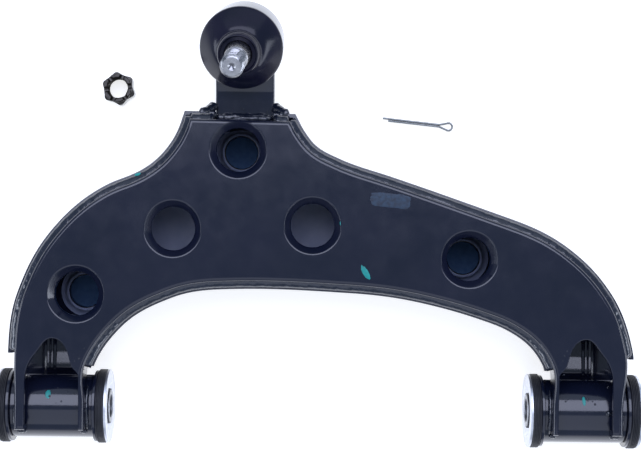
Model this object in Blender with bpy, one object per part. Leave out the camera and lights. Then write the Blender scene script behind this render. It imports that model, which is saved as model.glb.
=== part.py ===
"""Suspension control arm: a pressed-steel box arm with two rubber pivot bushes and a welded-in ball joint.

Every length below is in millimetres and every mesh is written in metres. The design frame has +X along the
pivot axis, +Y towards the ball joint and +Z up, with the arm lying flat on z = 0 and x = 0 midway between
the bushes. The empty "arm_frame" moves that frame so the world origin is under the middle of the part.
"""
import math

import bmesh
import bpy
from mathutils import Matrix, Vector

MM = 0.001
GAP = 0.3                   # clearance between pieces that touch on the real part

# --- driving dimensions -------------------------------------------------------------------------------
ARM_CENTRE_Y = 113.3        # middle of the part's length, measured from the pivot axis
BUSH_CENTRE_X = 162.75      # each bush's middle from the arm's middle
PIVOT_Z = 23.0              # height of the pivot axis
BALL_CENTRE = (-48.0, 223.5, 39.0)
BALL_TILT = math.radians(18.5)      # the ball joint's axis leans back towards the pivot axis
BALL_LEAN = math.radians(3.0)       # and a little to the left

# --- pressed shells -----------------------------------------------------------------------------------
SHEET = 3.0                 # steel sheet thickness
RIM_Z = 44.0                # top edge of the lower shell's wall
TOP_Z = 50.0                # upper face of the upper shell
DRAFT = math.tan(math.radians(6.0))
LOWER_BEND = 7.0            # outer bend radius between wall and floor
UPPER_BEND = 4.5            # outer bend radius between skirt and top plate
SKIRT_Z = 30.0              # lower edge of the upper shell's skirt
SKIRT_INSET = 4.9           # skirt's outer face inside the rim line
OUTLINE_STEP = 9.5          # spacing of the outline's points
EAR_END_Y = -17.0           # the rim line's end past the pivot tubes
WALL_END_Y = 34.0           # the lower shell's wall stops here, ahead of the bushes
TONGUE_END_Y = 8.0          # its floor ends under the pivot tubes

# Rim line, walked with the steel on the right: x, y and heading in degrees.
OUTER_LEFT = [(-188.4, 3.0, 90), (-188.6, 35.3, 88), (-183.0, 71.7, 70), (-163.4, 108.2, 51),
              (-131.0, 135.9, 29), (-109.9, 145.2, 29), (-91.4, 162.3, 56), (-83.1, 181.8, 73)]
OUTER_RIGHT = [(-15.9, 180.6, -65), (-6.6, 165.1, -52), (11.0, 153.8, -24), (42.0, 143.4, -18),
               (115.0, 118.6, -19), (151.5, 100.3, -37), (175.4, 75.7, -55), (190.0, 39.6, -78),
               (188.6, 3.0, -91)]
INNER_EDGE = [(136.4, 3.0, 92), (135.3, 29.9, 117), (122.0, 45.6, 145), (103.6, 54.9, 161),
              (67.1, 65.4, 167), (18.6, 72.1, 177), (-54.0, 73.8, 182), (-90.3, 67.9, 202),
              (-120.4, 49.8, 226), (-136.2, 26.8, 247), (-136.4, 3.0, 268)]
EAR_OUTER_X = 188.4         # corners of the rim line at the ears' ends
EAR_INNER_X = 136.6

# Tooling holes in the top plate; the ones marked True have a smaller one below in the lower shell.
HOLES = [(-50.1, 158.2, True), (-146.9, 70.3, True), (-89.0, 110.3, False),
         (-4.8, 113.0, False), (89.8, 93.7, True)]
HOLE_R = 13.2
DIMPLE_R = 17.5
COLLAR_DEPTH = 8.0
LOWER_HOLE_R = 10.0
HOLE_SIDES = 24

# Arched opening over each bush, from the bush's middle outwards and from the pivot axis.
ARCH = [(14.4, 17.0, 92), (8.2, 34.0, 131), (-2.0, 43.5, 180), (-11.2, 35.0, 251), (-16.4, 23.6, 215)]
ARCH_SHIFT_RIGHT = 2.5
LEG_INNER = 17.8            # inner edge of the opening beside the inner skirt

# --- pivot tubes and bushes ---------------------------------------------------------------------------
TUBE_R = 19.25
TUBE_WALL = 2.25
TUBE_HALF = 25.0
BUSH_HALF = 34.0
SHELL_R = TUBE_R - TUBE_WALL - GAP
SHELL_WALL = 1.8
SHELL_FLANGE_R = 22.0
SHELL_FLANGE = 2.0
RUBBER_R = 22.7
PLATE_R = 22.5
PLATE_HOLE_R = 11.8
PLATE_T = 1.6
SLEEVE_R = 10.0
SLEEVE_BORE_R = 7.1
SLEEVE_HALF = 34.5
BUSH_SIDES = 28

# --- ball joint ---------------------------------------------------------------------------------------
NECK_X = -47.05             # middle of the neck
NECK_HALF = 18.0
NECK_TAIL_Y = 168.0
NECK_BEND_Y = 192.5
NECK_BELOW = 6.0            # neck faces below and above its own middle plane
NECK_ABOVE = 5.0
HOUSING_R = 24.3
HOUSING_LOW = -15.4
HOUSING_HIGH = 9.0
HOUSING_WAIST = -9.0        # below this the housing tapers in
CUP_BORE_R = 17.5
MOUTH_R = 14.6
COVER_R = 19.0
COVER_T = 2.2
BALL_R = 12.0
CUP_SPHERE_R = 12.5
BOOT_R = 25.2
COLLAR_LOW = 29.0
COLLAR_HIGH = 34.0
TAPER_LOW = 24.0
TAPER_HIGH = 44.0
TAPER_LOW_R = 8.4
TAPER_HIGH_R = 7.15
THREAD_R = 6.95
STUD_END = 66.0
COTTER_HOLE_W = 59.0
COTTER_HOLE_R = 1.8
BALL_SIDES = 28

# --- loose fasteners ----------------------------------------------------------------------------------
NUT_AT = (-128.1, 197.9)
NUT_TURN = math.radians(-21.0)
NUT_FLATS = 19.0
NUT_HEX = 8.0
NUT_HEIGHT = 13.0
NUT_BORE_R = 6.3
NUT_CROWN_R = 8.9
NUT_SLOT = 3.6
PIN_EYE_AT = (80.0, 176.6)
PIN_TURN = math.radians(174.0)
PIN_LENGTH = 38.0
PIN_WIRE_R = 0.7
PIN_EYE_R = 3.0

MATERIALS = {               # colour, roughness, metallic
    "painted_steel": ((0.016, 0.019, 0.030), 0.32, 0.0),
    "weld_bead": ((0.020, 0.023, 0.034), 0.30, 0.0),
    "bush_rubber": ((0.014, 0.015, 0.020), 0.55, 0.0),
    "boot_rubber": ((0.016, 0.018, 0.028), 0.22, 0.0),
    "zinc_plate": ((0.62, 0.63, 0.65), 0.38, 1.0),
    "sleeve_steel": ((0.50, 0.51, 0.53), 0.35, 1.0),
    "stud_steel": ((0.72, 0.72, 0.72), 0.25, 1.0),
    "nut_steel": ((0.10, 0.10, 0.11), 0.35, 1.0),
    "pin_steel": ((0.30, 0.31, 0.32), 0.40, 1.0),
    "nylon": ((0.80, 0.78, 0.70), 0.50, 0.0),
}


# --- helpers ------------------------------------------------------------------------------------------
def clear_scene():
    for item in list(bpy.data.objects):
        bpy.data.objects.remove(item, do_unlink=True)


def material(name):
    """The named Principled material, made once."""
    made = bpy.data.materials.get(name)
    if made:
        return made
    colour, roughness, metallic = MATERIALS[name]
    made = bpy.data.materials.new(name)
    made.use_nodes = True
    shader = made.node_tree.nodes["Principled BSDF"]
    shader.inputs["Base Color"].default_value = (*colour, 1.0)
    shader.inputs["Roughness"].default_value = roughness
    shader.inputs["Metallic"].default_value = metallic
    return made


def empty(name, location, parent=None, rotation=None):
    """An axis or frame marker; its place is given in millimetres."""
    made = bpy.data.objects.new(name, None)
    bpy.context.collection.objects.link(made)
    made.parent = parent
    made.rotation_mode = "QUATERNION"
    made.location = Vector(location) * MM
    if rotation is not None:
        made.rotation_quaternion = rotation
    return made


def solid(name, verts, faces, slot, parent=None, smooth=True):
    """A closed mesh object from millimetre points, with its faces turned outwards."""
    mesh = bpy.data.meshes.new(name)
    mesh.from_pydata([Vector(v) * MM for v in verts], [], faces)
    work = bmesh.new()
    work.from_mesh(mesh)
    bmesh.ops.recalc_face_normals(work, faces=work.faces)
    work.to_mesh(mesh)
    work.free()
    made = bpy.data.objects.new(name, mesh)
    bpy.context.collection.objects.link(made)
    made.parent = parent
    if slot:
        mesh.materials.append(material(slot))
    if smooth:
        mesh.shade_smooth()
        mesh.set_sharp_from_angle(angle=math.radians(35.0))
    return made


def cutter(name, verts, faces, parent):
    made = solid(name, verts, faces, None, parent, smooth=False)
    made.hide_render = True
    made.display_type = "WIRE"
    return made


def boolean(target, tool, operation):
    step = target.modifiers.new(tool.name, "BOOLEAN")
    step.operation = operation
    step.solver = "EXACT"
    step.object = tool


def ring_faces(count, loops, closed):
    """Quads between successive loops of count points; closed joins the last loop to the first."""
    faces = []
    pairs = loops if closed else loops - 1
    for row in range(pairs):
        low = row * count
        high = (row + 1) % loops * count
        for i in range(count):
            j = (i + 1) % count
            faces.append((low + i, low + j, high + j, high + i))
    return faces


def turned_shape(profile, sides):
    """Points and faces of a ring turned about Z from a closed profile of (radius, height)."""
    verts = []
    for radius, height in profile:
        for i in range(sides):
            angle = math.tau * i / sides
            verts.append((radius * math.cos(angle), radius * math.sin(angle), height))
    return verts, ring_faces(sides, len(profile), closed=True)


def spindle_shape(profile, sides):
    """Points and faces of a solid of revolution whose two end discs are flat."""
    verts, _ = turned_shape(profile, sides)
    faces = ring_faces(sides, len(profile), closed=False)
    faces.append(tuple(range(sides)))
    faces.append(tuple(range((len(profile) - 1) * sides, len(profile) * sides)))
    return verts, faces


def prism_shape(outline, low, high):
    count = len(outline)
    verts = [(x, y, low) for x, y in outline] + [(x, y, high) for x, y in outline]
    faces = ring_faces(count, 2, closed=False)
    faces.append(tuple(range(count)))
    faces.append(tuple(range(count, 2 * count)))
    return verts, faces


def moved(shape, matrix):
    verts, faces = shape
    return [matrix @ Vector(v) for v in verts], faces


def arc(centre, radius, start, end, steps):
    """Points on an arc, angles in degrees."""
    points = []
    for i in range(steps + 1):
        angle = math.radians(start + (end - start) * i / steps)
        points.append((centre[0] + radius * math.cos(angle), centre[1] + radius * math.sin(angle)))
    return points


def smooth_path(knots, step):
    """Points along a smooth curve through knots of (x, y, heading in degrees)."""
    points = []
    for (x0, y0, h0), (x1, y1, h1) in zip(knots, knots[1:]):
        start = Vector((x0, y0))
        end = Vector((x1, y1))
        chord = (end - start).length
        reach = 0.36 * chord
        pull = start + reach * Vector((math.cos(math.radians(h0)), math.sin(math.radians(h0))))
        push = end - reach * Vector((math.cos(math.radians(h1)), math.sin(math.radians(h1))))
        count = max(1, round(chord / step))
        for i in range(count):
            t = i / count
            s = 1.0 - t
            at = s ** 3 * start + 3 * s * s * t * pull + 3 * s * t * t * push + t ** 3 * end
            points.append((at.x, at.y))
    points.append(tuple(knots[-1][:2]))
    return points


def inset(points, distance):
    """The closed outline moved inwards, with mitred corners; it runs clockwise."""
    moved_points = []
    count = len(points)
    for i in range(count):
        before = Vector(points[i - 1])
        here = Vector(points[i])
        after = Vector(points[(i + 1) % count])
        a = (here - before).normalized()
        b = (after - here).normalized()
        na = Vector((a.y, -a.x))
        nb = Vector((b.y, -b.x))
        moved_points.append(here + distance * (na + nb) / (1.0 + na.dot(nb)))
    return moved_points


# --- box arm ------------------------------------------------------------------------------------------
def rim_line():
    """The whole rim line, closed round both ears' ends."""
    left = smooth_path(OUTER_LEFT, OUTLINE_STEP)
    right = smooth_path(OUTER_RIGHT, OUTLINE_STEP)
    inner = smooth_path(INNER_EDGE, OUTLINE_STEP)
    line = [(-EAR_OUTER_X, EAR_END_Y)] + left + right
    line += [(EAR_OUTER_X, EAR_END_Y), (EAR_INNER_X, EAR_END_Y)]
    return line + inner + [(-EAR_INNER_X, EAR_END_Y)]


def shell_shape(outline, profile):
    """A pressed tray: loops at (inset, height) along the profile, capped at both ends."""
    verts = []
    for distance, height in profile:
        verts += [(p.x, p.y, height) for p in inset(outline, distance)]
    count = len(outline)
    faces = ring_faces(count, len(profile), closed=False)
    faces.append(tuple(range(count)))
    faces.append(tuple(range((len(profile) - 1) * count, len(profile) * count)))
    return verts, faces


def lower_profile():
    run = (RIM_Z - LOWER_BEND) * DRAFT
    centre = (run + LOWER_BEND, LOWER_BEND)
    outside = arc(centre, LOWER_BEND, 270, 180, 2)
    inside = arc(centre, LOWER_BEND - SHEET, 180, 270, 2)
    return outside + [(0.0, RIM_Z), (SHEET, RIM_Z)] + inside


def upper_profile():
    centre = (SKIRT_INSET + UPPER_BEND, TOP_Z - UPPER_BEND)
    outside = arc(centre, UPPER_BEND, 90, 180, 2)
    inside = arc(centre, UPPER_BEND - SHEET, 180, 90, 2)
    return outside + [(SKIRT_INSET, SKIRT_Z), (SKIRT_INSET + SHEET, SKIRT_Z)] + inside


def dimple_collar(top):
    """Plug that becomes the sheet drawn down around a tooling hole; top is the plate's upper face."""
    return spindle_shape([(HOLE_R + 3.0, top - COLLAR_DEPTH), (HOLE_R + 3.0, top - 5.6),
                          (DIMPLE_R, top - 3.4), (DIMPLE_R, top - 1.5)], HOLE_SIDES)


def dimple_cut(top):
    """The hole and the sloping shoulder above it."""
    low = top - COLLAR_DEPTH - 2.0
    return spindle_shape([(HOLE_R, low), (HOLE_R, top - 4.6), (HOLE_R + 1.4, top - 2.8),
                          (DIMPLE_R, top), (DIMPLE_R + 1.0, top + 3.0)], HOLE_SIDES)


def lower_collar():
    """Plug that becomes the collar standing up round a hole in the floor."""
    radius = LOWER_HOLE_R
    return spindle_shape([(radius + 5.0, 1.5), (radius + 5.0, SHEET + 0.4), (radius + 2.6, SHEET + 2.6),
                          (radius + 2.2, SHEET + 5.0)], HOLE_SIDES)


def lower_cut():
    radius = LOWER_HOLE_R
    return spindle_shape([(radius + 5.0, -3.0), (radius + 3.6, 0.0), (radius + 0.6, 2.6),
                          (radius, 4.4), (radius, 12.0)], HOLE_SIDES)


def pivot_cut(side):
    """A long cylinder round the pivot tube, for the saddles in the skirts."""
    turn = Matrix.Translation((side * BUSH_CENTRE_X, 0.0, PIVOT_Z)) @ Matrix.Rotation(math.pi / 2, 4, "Y")
    radius = TUBE_R + GAP + 0.1
    return moved(spindle_shape([(radius, -35.0), (radius, 35.0)], 36), turn)


def arch_outline(side):
    """The opening over a bush; side is -1 at the left ear and 1 at the right."""
    lift = ARCH_SHIFT_RIGHT if side > 0 else 0.0
    curve = smooth_path([(q, y + lift, h) for q, y, h in ARCH], 5.0)
    path = [(14.6, EAR_END_Y - 8.0)] + curve
    path += [(-LEG_INNER, 21.5 + lift), (-LEG_INNER - 0.4, EAR_END_Y - 8.0)]
    return [(side * (BUSH_CENTRE_X + q), y) for q, y in path]


def ear_wall_cut(side):
    """Clears the lower shell's walls beside the bush."""
    x = BUSH_CENTRE_X
    path = [(x + 42, EAR_END_Y - 8), (x + 42, WALL_END_Y + 1.0), (x, WALL_END_Y - 2.0),
            (x - 42, 27.0), (x - 42, EAR_END_Y - 8)]
    return prism_shape([(side * a, b) for a, b in path], SHEET + 0.45, TOP_Z + 10)


def ear_floor_cut(side):
    """Trims the lower shell's floor to a tongue that ends under the pivot tube."""
    x = BUSH_CENTRE_X
    path = [(x + 42, EAR_END_Y - 8), (x + 42, WALL_END_Y), (x + 15.5, WALL_END_Y), (x + 15.5, TONGUE_END_Y),
            (x - 15.0, TONGUE_END_Y), (x - 15.0, 27.0), (x - 42, 27.0), (x - 42, EAR_END_Y - 8)]
    return prism_shape([(side * a, b) for a, b in path], -5.0, TOP_Z + 10)


def neck_cut(low, high):
    """Room for the ball joint's neck through a shell's front wall."""
    half = NECK_HALF + GAP
    path = [(NECK_X - half, NECK_TAIL_Y), (NECK_X + half, NECK_TAIL_Y), (NECK_X + half, 200.0),
            (NECK_X - half, 200.0)]
    return prism_shape(path, low, high)


def neck_mid_z(y):
    """Height of the neck's middle plane: square to the ball joint's axis, then flat inside the box."""
    x, ball_y, ball_z = BALL_CENTRE
    return ball_z - (ball_y - max(y, NECK_BEND_Y)) * math.tan(BALL_TILT)


def lower_shell(outline, parent):
    body = solid("lower_shell", *shell_shape(outline, lower_profile()), "painted_steel", parent)
    for index, (x, y, below) in enumerate(HOLES):
        if below:
            place = Matrix.Translation((x, y, 0.0))
            boolean(body, cutter(f"lower_collar_{index}", *moved(lower_collar(), place), parent), "UNION")
            boolean(body, cutter(f"lower_hole_{index}", *moved(lower_cut(), place), parent), "DIFFERENCE")
    for side, word in ((-1, "left"), (1, "right")):
        boolean(body, cutter(f"ear_wall_{word}", *ear_wall_cut(side), parent), "DIFFERENCE")
        boolean(body, cutter(f"ear_floor_{word}", *ear_floor_cut(side), parent), "DIFFERENCE")
    low = neck_mid_z(0.0) - NECK_BELOW - GAP
    boolean(body, cutter("lower_neck_cut", *neck_cut(low, TOP_Z + 5.0), parent), "DIFFERENCE")


def upper_shell(outline, parent):
    body = solid("upper_shell", *shell_shape(outline, upper_profile()), "painted_steel", parent)
    for index, (x, y, _) in enumerate(HOLES):
        place = Matrix.Translation((x, y, 0.0))
        boolean(body, cutter(f"upper_collar_{index}", *moved(dimple_collar(TOP_Z), place), parent), "UNION")
        boolean(body, cutter(f"upper_hole_{index}", *moved(dimple_cut(TOP_Z), place), parent), "DIFFERENCE")
    for side, word in ((-1, "left"), (1, "right")):
        arch = prism_shape(arch_outline(side), SKIRT_Z - 10.0, TOP_Z + 5.0)
        boolean(body, cutter(f"arch_{word}", *arch, parent), "DIFFERENCE")
        boolean(body, cutter(f"saddle_{word}", *pivot_cut(side), parent), "DIFFERENCE")
    high = neck_mid_z(0.0) + NECK_ABOVE + GAP
    boolean(body, cutter("upper_neck_cut", *neck_cut(SKIRT_Z - 10.0, high), parent), "DIFFERENCE")


BEAD = [(1.7, RIM_Z + GAP), (SKIRT_INSET - GAP, RIM_Z + GAP), (SKIRT_INSET - GAP, TOP_Z - 2.4),
        (3.2, TOP_Z - 2.9), (2.0, TOP_Z - 4.2)]


def bead_shape(path):
    """A fillet of weld along an open stretch of rim line, on the rim and against the skirt."""
    verts = []
    for i, here in enumerate(path):
        before = Vector(path[max(i - 1, 0)])
        after = Vector(path[min(i + 1, len(path) - 1)])
        along = (after - before).normalized()
        inward = Vector((along.y, -along.x))
        for distance, height in BEAD:
            at = Vector(here) + distance * inward
            verts.append((at.x, at.y, height))
    size = len(BEAD)
    faces = ring_faces(size, len(path), closed=False)
    faces.append(tuple(range(size)))
    faces.append(tuple(range((len(path) - 1) * size, len(path) * size)))
    return verts, faces


def above_line(points, lowest):
    return [p for p in points if p[1] > lowest]


def seam_welds(parent):
    left = above_line(smooth_path(OUTER_LEFT, OUTLINE_STEP), WALL_END_Y + 0.5)[:-1]
    right = above_line(smooth_path(OUTER_RIGHT, OUTLINE_STEP), WALL_END_Y + 0.5)[1:]
    inner = above_line(smooth_path(INNER_EDGE, OUTLINE_STEP), 29.0)
    solid("seam_weld_outer_left", *bead_shape(left), "weld_bead", parent)
    solid("seam_weld_outer_right", *bead_shape(right), "weld_bead", parent)
    solid("seam_weld_inner", *bead_shape(inner), "weld_bead", parent)
    corner_left = Vector(OUTER_LEFT[-1][:2])
    corner_right = Vector(OUTER_RIGHT[0][:2])
    along = (corner_right - corner_left).normalized()
    neck_left = corner_left + along * (NECK_X - NECK_HALF - GAP - corner_left.x)
    neck_right = corner_left + along * (NECK_X + NECK_HALF + GAP - corner_left.x)
    solid("front_weld_left", *bead_shape([corner_left + 5.6 * along, neck_left]), "weld_bead", parent)
    solid("front_weld_right", *bead_shape([neck_right, corner_right - 5.8 * along]), "weld_bead", parent)


def neck_weld(parent):
    """The bead across the neck, against the upper shell's front skirt."""
    low = neck_mid_z(0.0) + NECK_ABOVE + GAP
    front = 182.0 - SKIRT_INSET + GAP
    section = [(front, low), (front + 4.2, low), (front + 3.4, low + 2.6), (front, low + 4.2)]
    half = NECK_HALF - 0.6
    verts = [(NECK_X - half, y, z) for y, z in section] + [(NECK_X + half, y, z) for y, z in section]
    faces = ring_faces(4, 2, closed=False) + [(0, 1, 2, 3), (4, 5, 6, 7)]
    solid("neck_weld", verts, faces, "weld_bead", parent)


def ear_welds(side, word, parent):
    """Short beads that hold the skirts' ends to the pivot tube, one on each leg."""
    start = EAR_END_Y + SKIRT_INSET - GAP
    section = []
    for back, rise in ((0.0, 0.0), (2.8, 0.0), (2.2, 1.8), (0.0, 3.2)):
        y = start - back
        section.append((y, PIVOT_Z + math.sqrt((TUBE_R + GAP) ** 2 - y * y) + rise))
    for name, q, half in (("outer", 17.9, 2.7), ("inner", -20.0, 1.6)):
        centre = side * (BUSH_CENTRE_X + q)
        verts = [(x, y, z) for x in (centre - half, centre + half) for y, z in section]
        faces = ring_faces(4, 2, closed=False) + [(0, 1, 2, 3), (4, 5, 6, 7)]
        solid(f"ear_weld_{word}_{name}", verts, faces, "weld_bead", parent)


# --- pivots -------------------------------------------------------------------------------------------
def pivot_tube(word, axis):
    bore = TUBE_R - TUBE_WALL
    bevel = 0.6
    profile = [(TUBE_R, -TUBE_HALF + bevel), (TUBE_R, TUBE_HALF - bevel), (TUBE_R - bevel, TUBE_HALF),
               (bore, TUBE_HALF), (bore, -TUBE_HALF), (TUBE_R - bevel, -TUBE_HALF)]
    solid(f"pivot_tube_{word}", *turned_shape(profile, 36), "painted_steel", axis)


def half_bush(word, end, axis):
    """One flanged half of a bush, pressed into the tube's end; end is -1 or 1 along the axis."""
    label = f"{word}_{'plus' if end > 0 else 'minus'}"
    flange = TUBE_HALF + GAP
    shell = [(SHELL_R, GAP), (SHELL_R, flange), (SHELL_FLANGE_R, flange),
             (SHELL_FLANGE_R, flange + SHELL_FLANGE), (SHELL_R - SHELL_WALL, flange + SHELL_FLANGE),
             (SHELL_R - SHELL_WALL, GAP)]
    face = flange + SHELL_FLANGE + GAP
    back = BUSH_HALF - PLATE_T - GAP
    rubber = [(SHELL_R - SHELL_WALL - GAP, GAP), (SHELL_R - SHELL_WALL - GAP, face), (RUBBER_R - 0.8, face),
              (RUBBER_R, face + 1.2), (RUBBER_R, back), (SLEEVE_R + GAP, back), (SLEEVE_R + GAP, GAP)]
    plate = [(PLATE_R, BUSH_HALF - PLATE_T), (PLATE_R, BUSH_HALF - 0.4), (PLATE_R - 0.4, BUSH_HALF),
             (PLATE_HOLE_R, BUSH_HALF), (PLATE_HOLE_R, BUSH_HALF - PLATE_T)]
    for name, profile, slot in (("bush_shell", shell, "painted_steel"), ("bush_rubber", rubber, "bush_rubber"),
                                ("bush_end_plate", plate, "zinc_plate")):
        placed = [(radius, end * height) for radius, height in profile]
        solid(f"{name}_{label}", *turned_shape(placed, BUSH_SIDES), slot, axis)


def inner_sleeve(word, axis):
    bevel = 0.7
    profile = [(SLEEVE_R, -SLEEVE_HALF + bevel), (SLEEVE_R, SLEEVE_HALF - bevel),
               (SLEEVE_R - bevel, SLEEVE_HALF), (SLEEVE_BORE_R, SLEEVE_HALF), (SLEEVE_BORE_R, -SLEEVE_HALF),
               (SLEEVE_R - bevel, -SLEEVE_HALF)]
    solid(f"inner_sleeve_{word}", *turned_shape(profile, BUSH_SIDES), "sleeve_steel", axis)


def pivots(frame):
    for side, word in ((-1, "left"), (1, "right")):
        turn = Matrix.Rotation(math.pi / 2, 3, "Y").to_quaternion()
        axis = empty(f"{word}_bush_axis", (side * BUSH_CENTRE_X, 0.0, PIVOT_Z), frame, turn)
        pivot_tube(word, axis)
        half_bush(word, -1, axis)
        half_bush(word, 1, axis)
        inner_sleeve(word, axis)
        ear_welds(side, word, frame)


# --- ball joint ---------------------------------------------------------------------------------------
def ball_axis_turn():
    """Rotation whose Z is the ball joint's axis, with X kept square to the world's Y."""
    z = Vector((-math.sin(BALL_LEAN), -math.sin(BALL_TILT) * math.cos(BALL_LEAN),
                math.cos(BALL_TILT) * math.cos(BALL_LEAN)))
    x = Vector((0.0, 1.0, 0.0)).cross(z).normalized()
    y = z.cross(x)
    return Matrix((x, y, z)).transposed()


def ball_place():
    return Matrix.Translation(BALL_CENTRE) @ ball_axis_turn().to_4x4()


def forging(frame):
    """The neck and the ball joint's housing, one forging."""
    section = []
    for y in (NECK_TAIL_Y, NECK_BEND_Y, BALL_CENTRE[1] - 12.0):
        section.append((y, neck_mid_z(y) - NECK_BELOW))
    for y in (BALL_CENTRE[1] - 12.0, NECK_BEND_Y - 1.0, NECK_TAIL_Y):
        section.append((y, neck_mid_z(y) + NECK_ABOVE))
    count = len(section)
    verts = [(NECK_X - NECK_HALF, y, z) for y, z in section]
    verts += [(NECK_X + NECK_HALF, y, z) for y, z in section]
    faces = ring_faces(count, 2, closed=False)
    faces.append(tuple(range(count)))
    faces.append(tuple(range(count, 2 * count)))
    body = solid("ball_joint_forging", verts, faces, "painted_steel", frame)
    bevel = 1.0
    outside = [(HOUSING_R - 3.0, HOUSING_LOW), (HOUSING_R - bevel, HOUSING_LOW + 2.0),
               (HOUSING_R, HOUSING_WAIST), (HOUSING_R, HOUSING_HIGH - bevel),
               (HOUSING_R - bevel, HOUSING_HIGH)]
    drum = moved(spindle_shape(outside, 36), ball_place())
    boolean(body, cutter("housing_drum", *drum, frame), "UNION")
    step = HOUSING_LOW + COVER_T + 0.5
    bore = [(COVER_R + GAP, HOUSING_LOW - 2.0), (COVER_R + GAP, step), (CUP_BORE_R, step),
            (CUP_BORE_R, 5.0), (MOUTH_R, 7.0), (MOUTH_R + 1.5, HOUSING_HIGH + 2.0)]
    hollow = moved(spindle_shape(bore, BALL_SIDES), ball_place())
    boolean(body, cutter("housing_bore", *hollow, frame), "DIFFERENCE")


def ball_joint(frame):
    axis = empty("ball_joint_axis", BALL_CENTRE, frame, ball_axis_turn().to_quaternion())
    low = HOUSING_LOW + 0.2
    cover = [(COVER_R - 1.0, low), (COVER_R, low + 0.8), (COVER_R, low + COVER_T)]
    solid("cover_plate", *spindle_shape(cover, BALL_SIDES), "painted_steel", axis)
    floor = low + COVER_T + GAP + 0.3
    sphere = arc((0.0, 0.0), CUP_SPHERE_R, 21.0, -68.0, 5)
    cup = [(CUP_BORE_R - GAP, floor), (CUP_BORE_R - GAP, sphere[0][1])] + sphere
    cup.append((sphere[-1][0] - 0.6, floor))
    solid("bearing_seat", *turned_shape(cup, BALL_SIDES), "nylon", axis)
    base = HOUSING_HIGH + GAP
    boot = [(22.6, base), (22.6, base + 2.6), (24.4, base + 3.4), (BOOT_R, base + 5.6), (24.6, base + 8.4),
            (22.2, base + 11.0), (20.4, base + 9.6), (22.8, base + 7.6), (23.2, base + 5.4),
            (21.6, base + 3.6), (19.4, base + 2.2), (19.4, base)]
    solid("dust_boot", *turned_shape(boot, BALL_SIDES), "boot_rubber", axis)
    clamp = [(22.9, base + 0.4), (24.1, base + 0.4), (24.1, base + 2.3), (22.9, base + 2.3)]
    solid("boot_clamp_ring", *turned_shape(clamp, BALL_SIDES), "zinc_plate", axis)
    collar = [(8.9, COLLAR_LOW), (11.6, COLLAR_LOW), (12.4, COLLAR_LOW + 1.2), (12.4, COLLAR_HIGH - 1.4),
              (11.2, COLLAR_HIGH), (8.9, COLLAR_HIGH)]
    solid("boot_collar", *turned_shape(collar, BALL_SIDES), "boot_rubber", axis)
    ball_stud(axis)


def ball_stud(axis):
    neck_angle = math.degrees(math.acos(7.4 / BALL_R))
    ball = arc((0.0, 0.0), BALL_R, -68.0, neck_angle, 8)
    shank = [(7.2, 11.2), (7.4, 19.0), (TAPER_LOW_R, 22.5), (TAPER_LOW_R, TAPER_LOW),
             (TAPER_HIGH_R, TAPER_HIGH), (6.2, TAPER_HIGH + 0.8), (6.2, TAPER_HIGH + 2.4),
             (THREAD_R, TAPER_HIGH + 3.4), (THREAD_R, STUD_END - 1.4), (THREAD_R - 1.1, STUD_END)]
    body = solid("ball_stud", *spindle_shape(ball + shank, BALL_SIDES), "stud_steel", axis)
    turn = Matrix.Translation((0.0, 0.0, COTTER_HOLE_W)) @ Matrix.Rotation(math.pi / 2, 4, "X")
    hole = moved(spindle_shape([(COTTER_HOLE_R, -12.0), (COTTER_HOLE_R, 12.0)], 12), turn)
    boolean(body, cutter("cotter_hole", *hole, axis), "DIFFERENCE")


# --- loose fasteners ----------------------------------------------------------------------------------
def castle_nut(frame):
    corner = NUT_FLATS / math.sqrt(3.0)
    outline = arc((0.0, 0.0), corner, 0, 300, 5)
    body = solid("castle_nut", *prism_shape(outline, 0.0, NUT_HEX), "nut_steel", frame)
    body.location = Vector((*NUT_AT, 0.0)) * MM
    body.rotation_euler.z = NUT_TURN
    crown = spindle_shape([(NUT_CROWN_R, NUT_HEX - 1.0), (NUT_CROWN_R, NUT_HEIGHT)], 24)
    boolean(body, cutter("nut_crown", *crown, body), "UNION")
    bore = spindle_shape([(NUT_BORE_R, -2.0), (NUT_BORE_R, NUT_HEIGHT + 2.0)], 24)
    boolean(body, cutter("nut_bore", *bore, body), "DIFFERENCE")
    half = NUT_SLOT / 2.0
    for index in range(3):
        bar = prism_shape([(-15.0, -half), (15.0, -half), (15.0, half), (-15.0, half)], NUT_HEX + 0.6,
                          NUT_HEIGHT + 3.0)
        turn = Matrix.Rotation(math.radians(60.0 * index + 30.0), 4, "Z")
        boolean(body, cutter(f"nut_slot_{index}", *moved(bar, turn), body), "DIFFERENCE")


def split_pin(frame):
    """Two wire legs side by side and the eye that joins them, lying flat."""
    offset = PIN_WIRE_R + 0.2
    eye = arc((0.0, 0.0), PIN_EYE_R, 130.0, -130.0, 10)
    route = [(-PIN_LENGTH - 3.5, offset), (-PIN_LENGTH * 0.6, offset), (-7.0, offset)] + eye
    route += [(-7.0, -offset), (-PIN_LENGTH * 0.6, -offset), (-PIN_LENGTH, -offset)]
    curve = bpy.data.curves.new("cotter_pin", "CURVE")
    curve.dimensions = "3D"
    curve.bevel_depth = PIN_WIRE_R * MM
    curve.bevel_resolution = 2
    curve.use_fill_caps = True
    spline = curve.splines.new("POLY")
    spline.points.add(len(route) - 1)
    for point, (x, y) in zip(spline.points, route):
        point.co = (x * MM, y * MM, 0.0, 1.0)
    curve.materials.append(material("pin_steel"))
    made = bpy.data.objects.new("cotter_pin", curve)
    bpy.context.collection.objects.link(made)
    made.parent = frame
    made.location = Vector((*PIN_EYE_AT, PIN_WIRE_R)) * MM
    made.rotation_euler.z = PIN_TURN - math.pi


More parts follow.
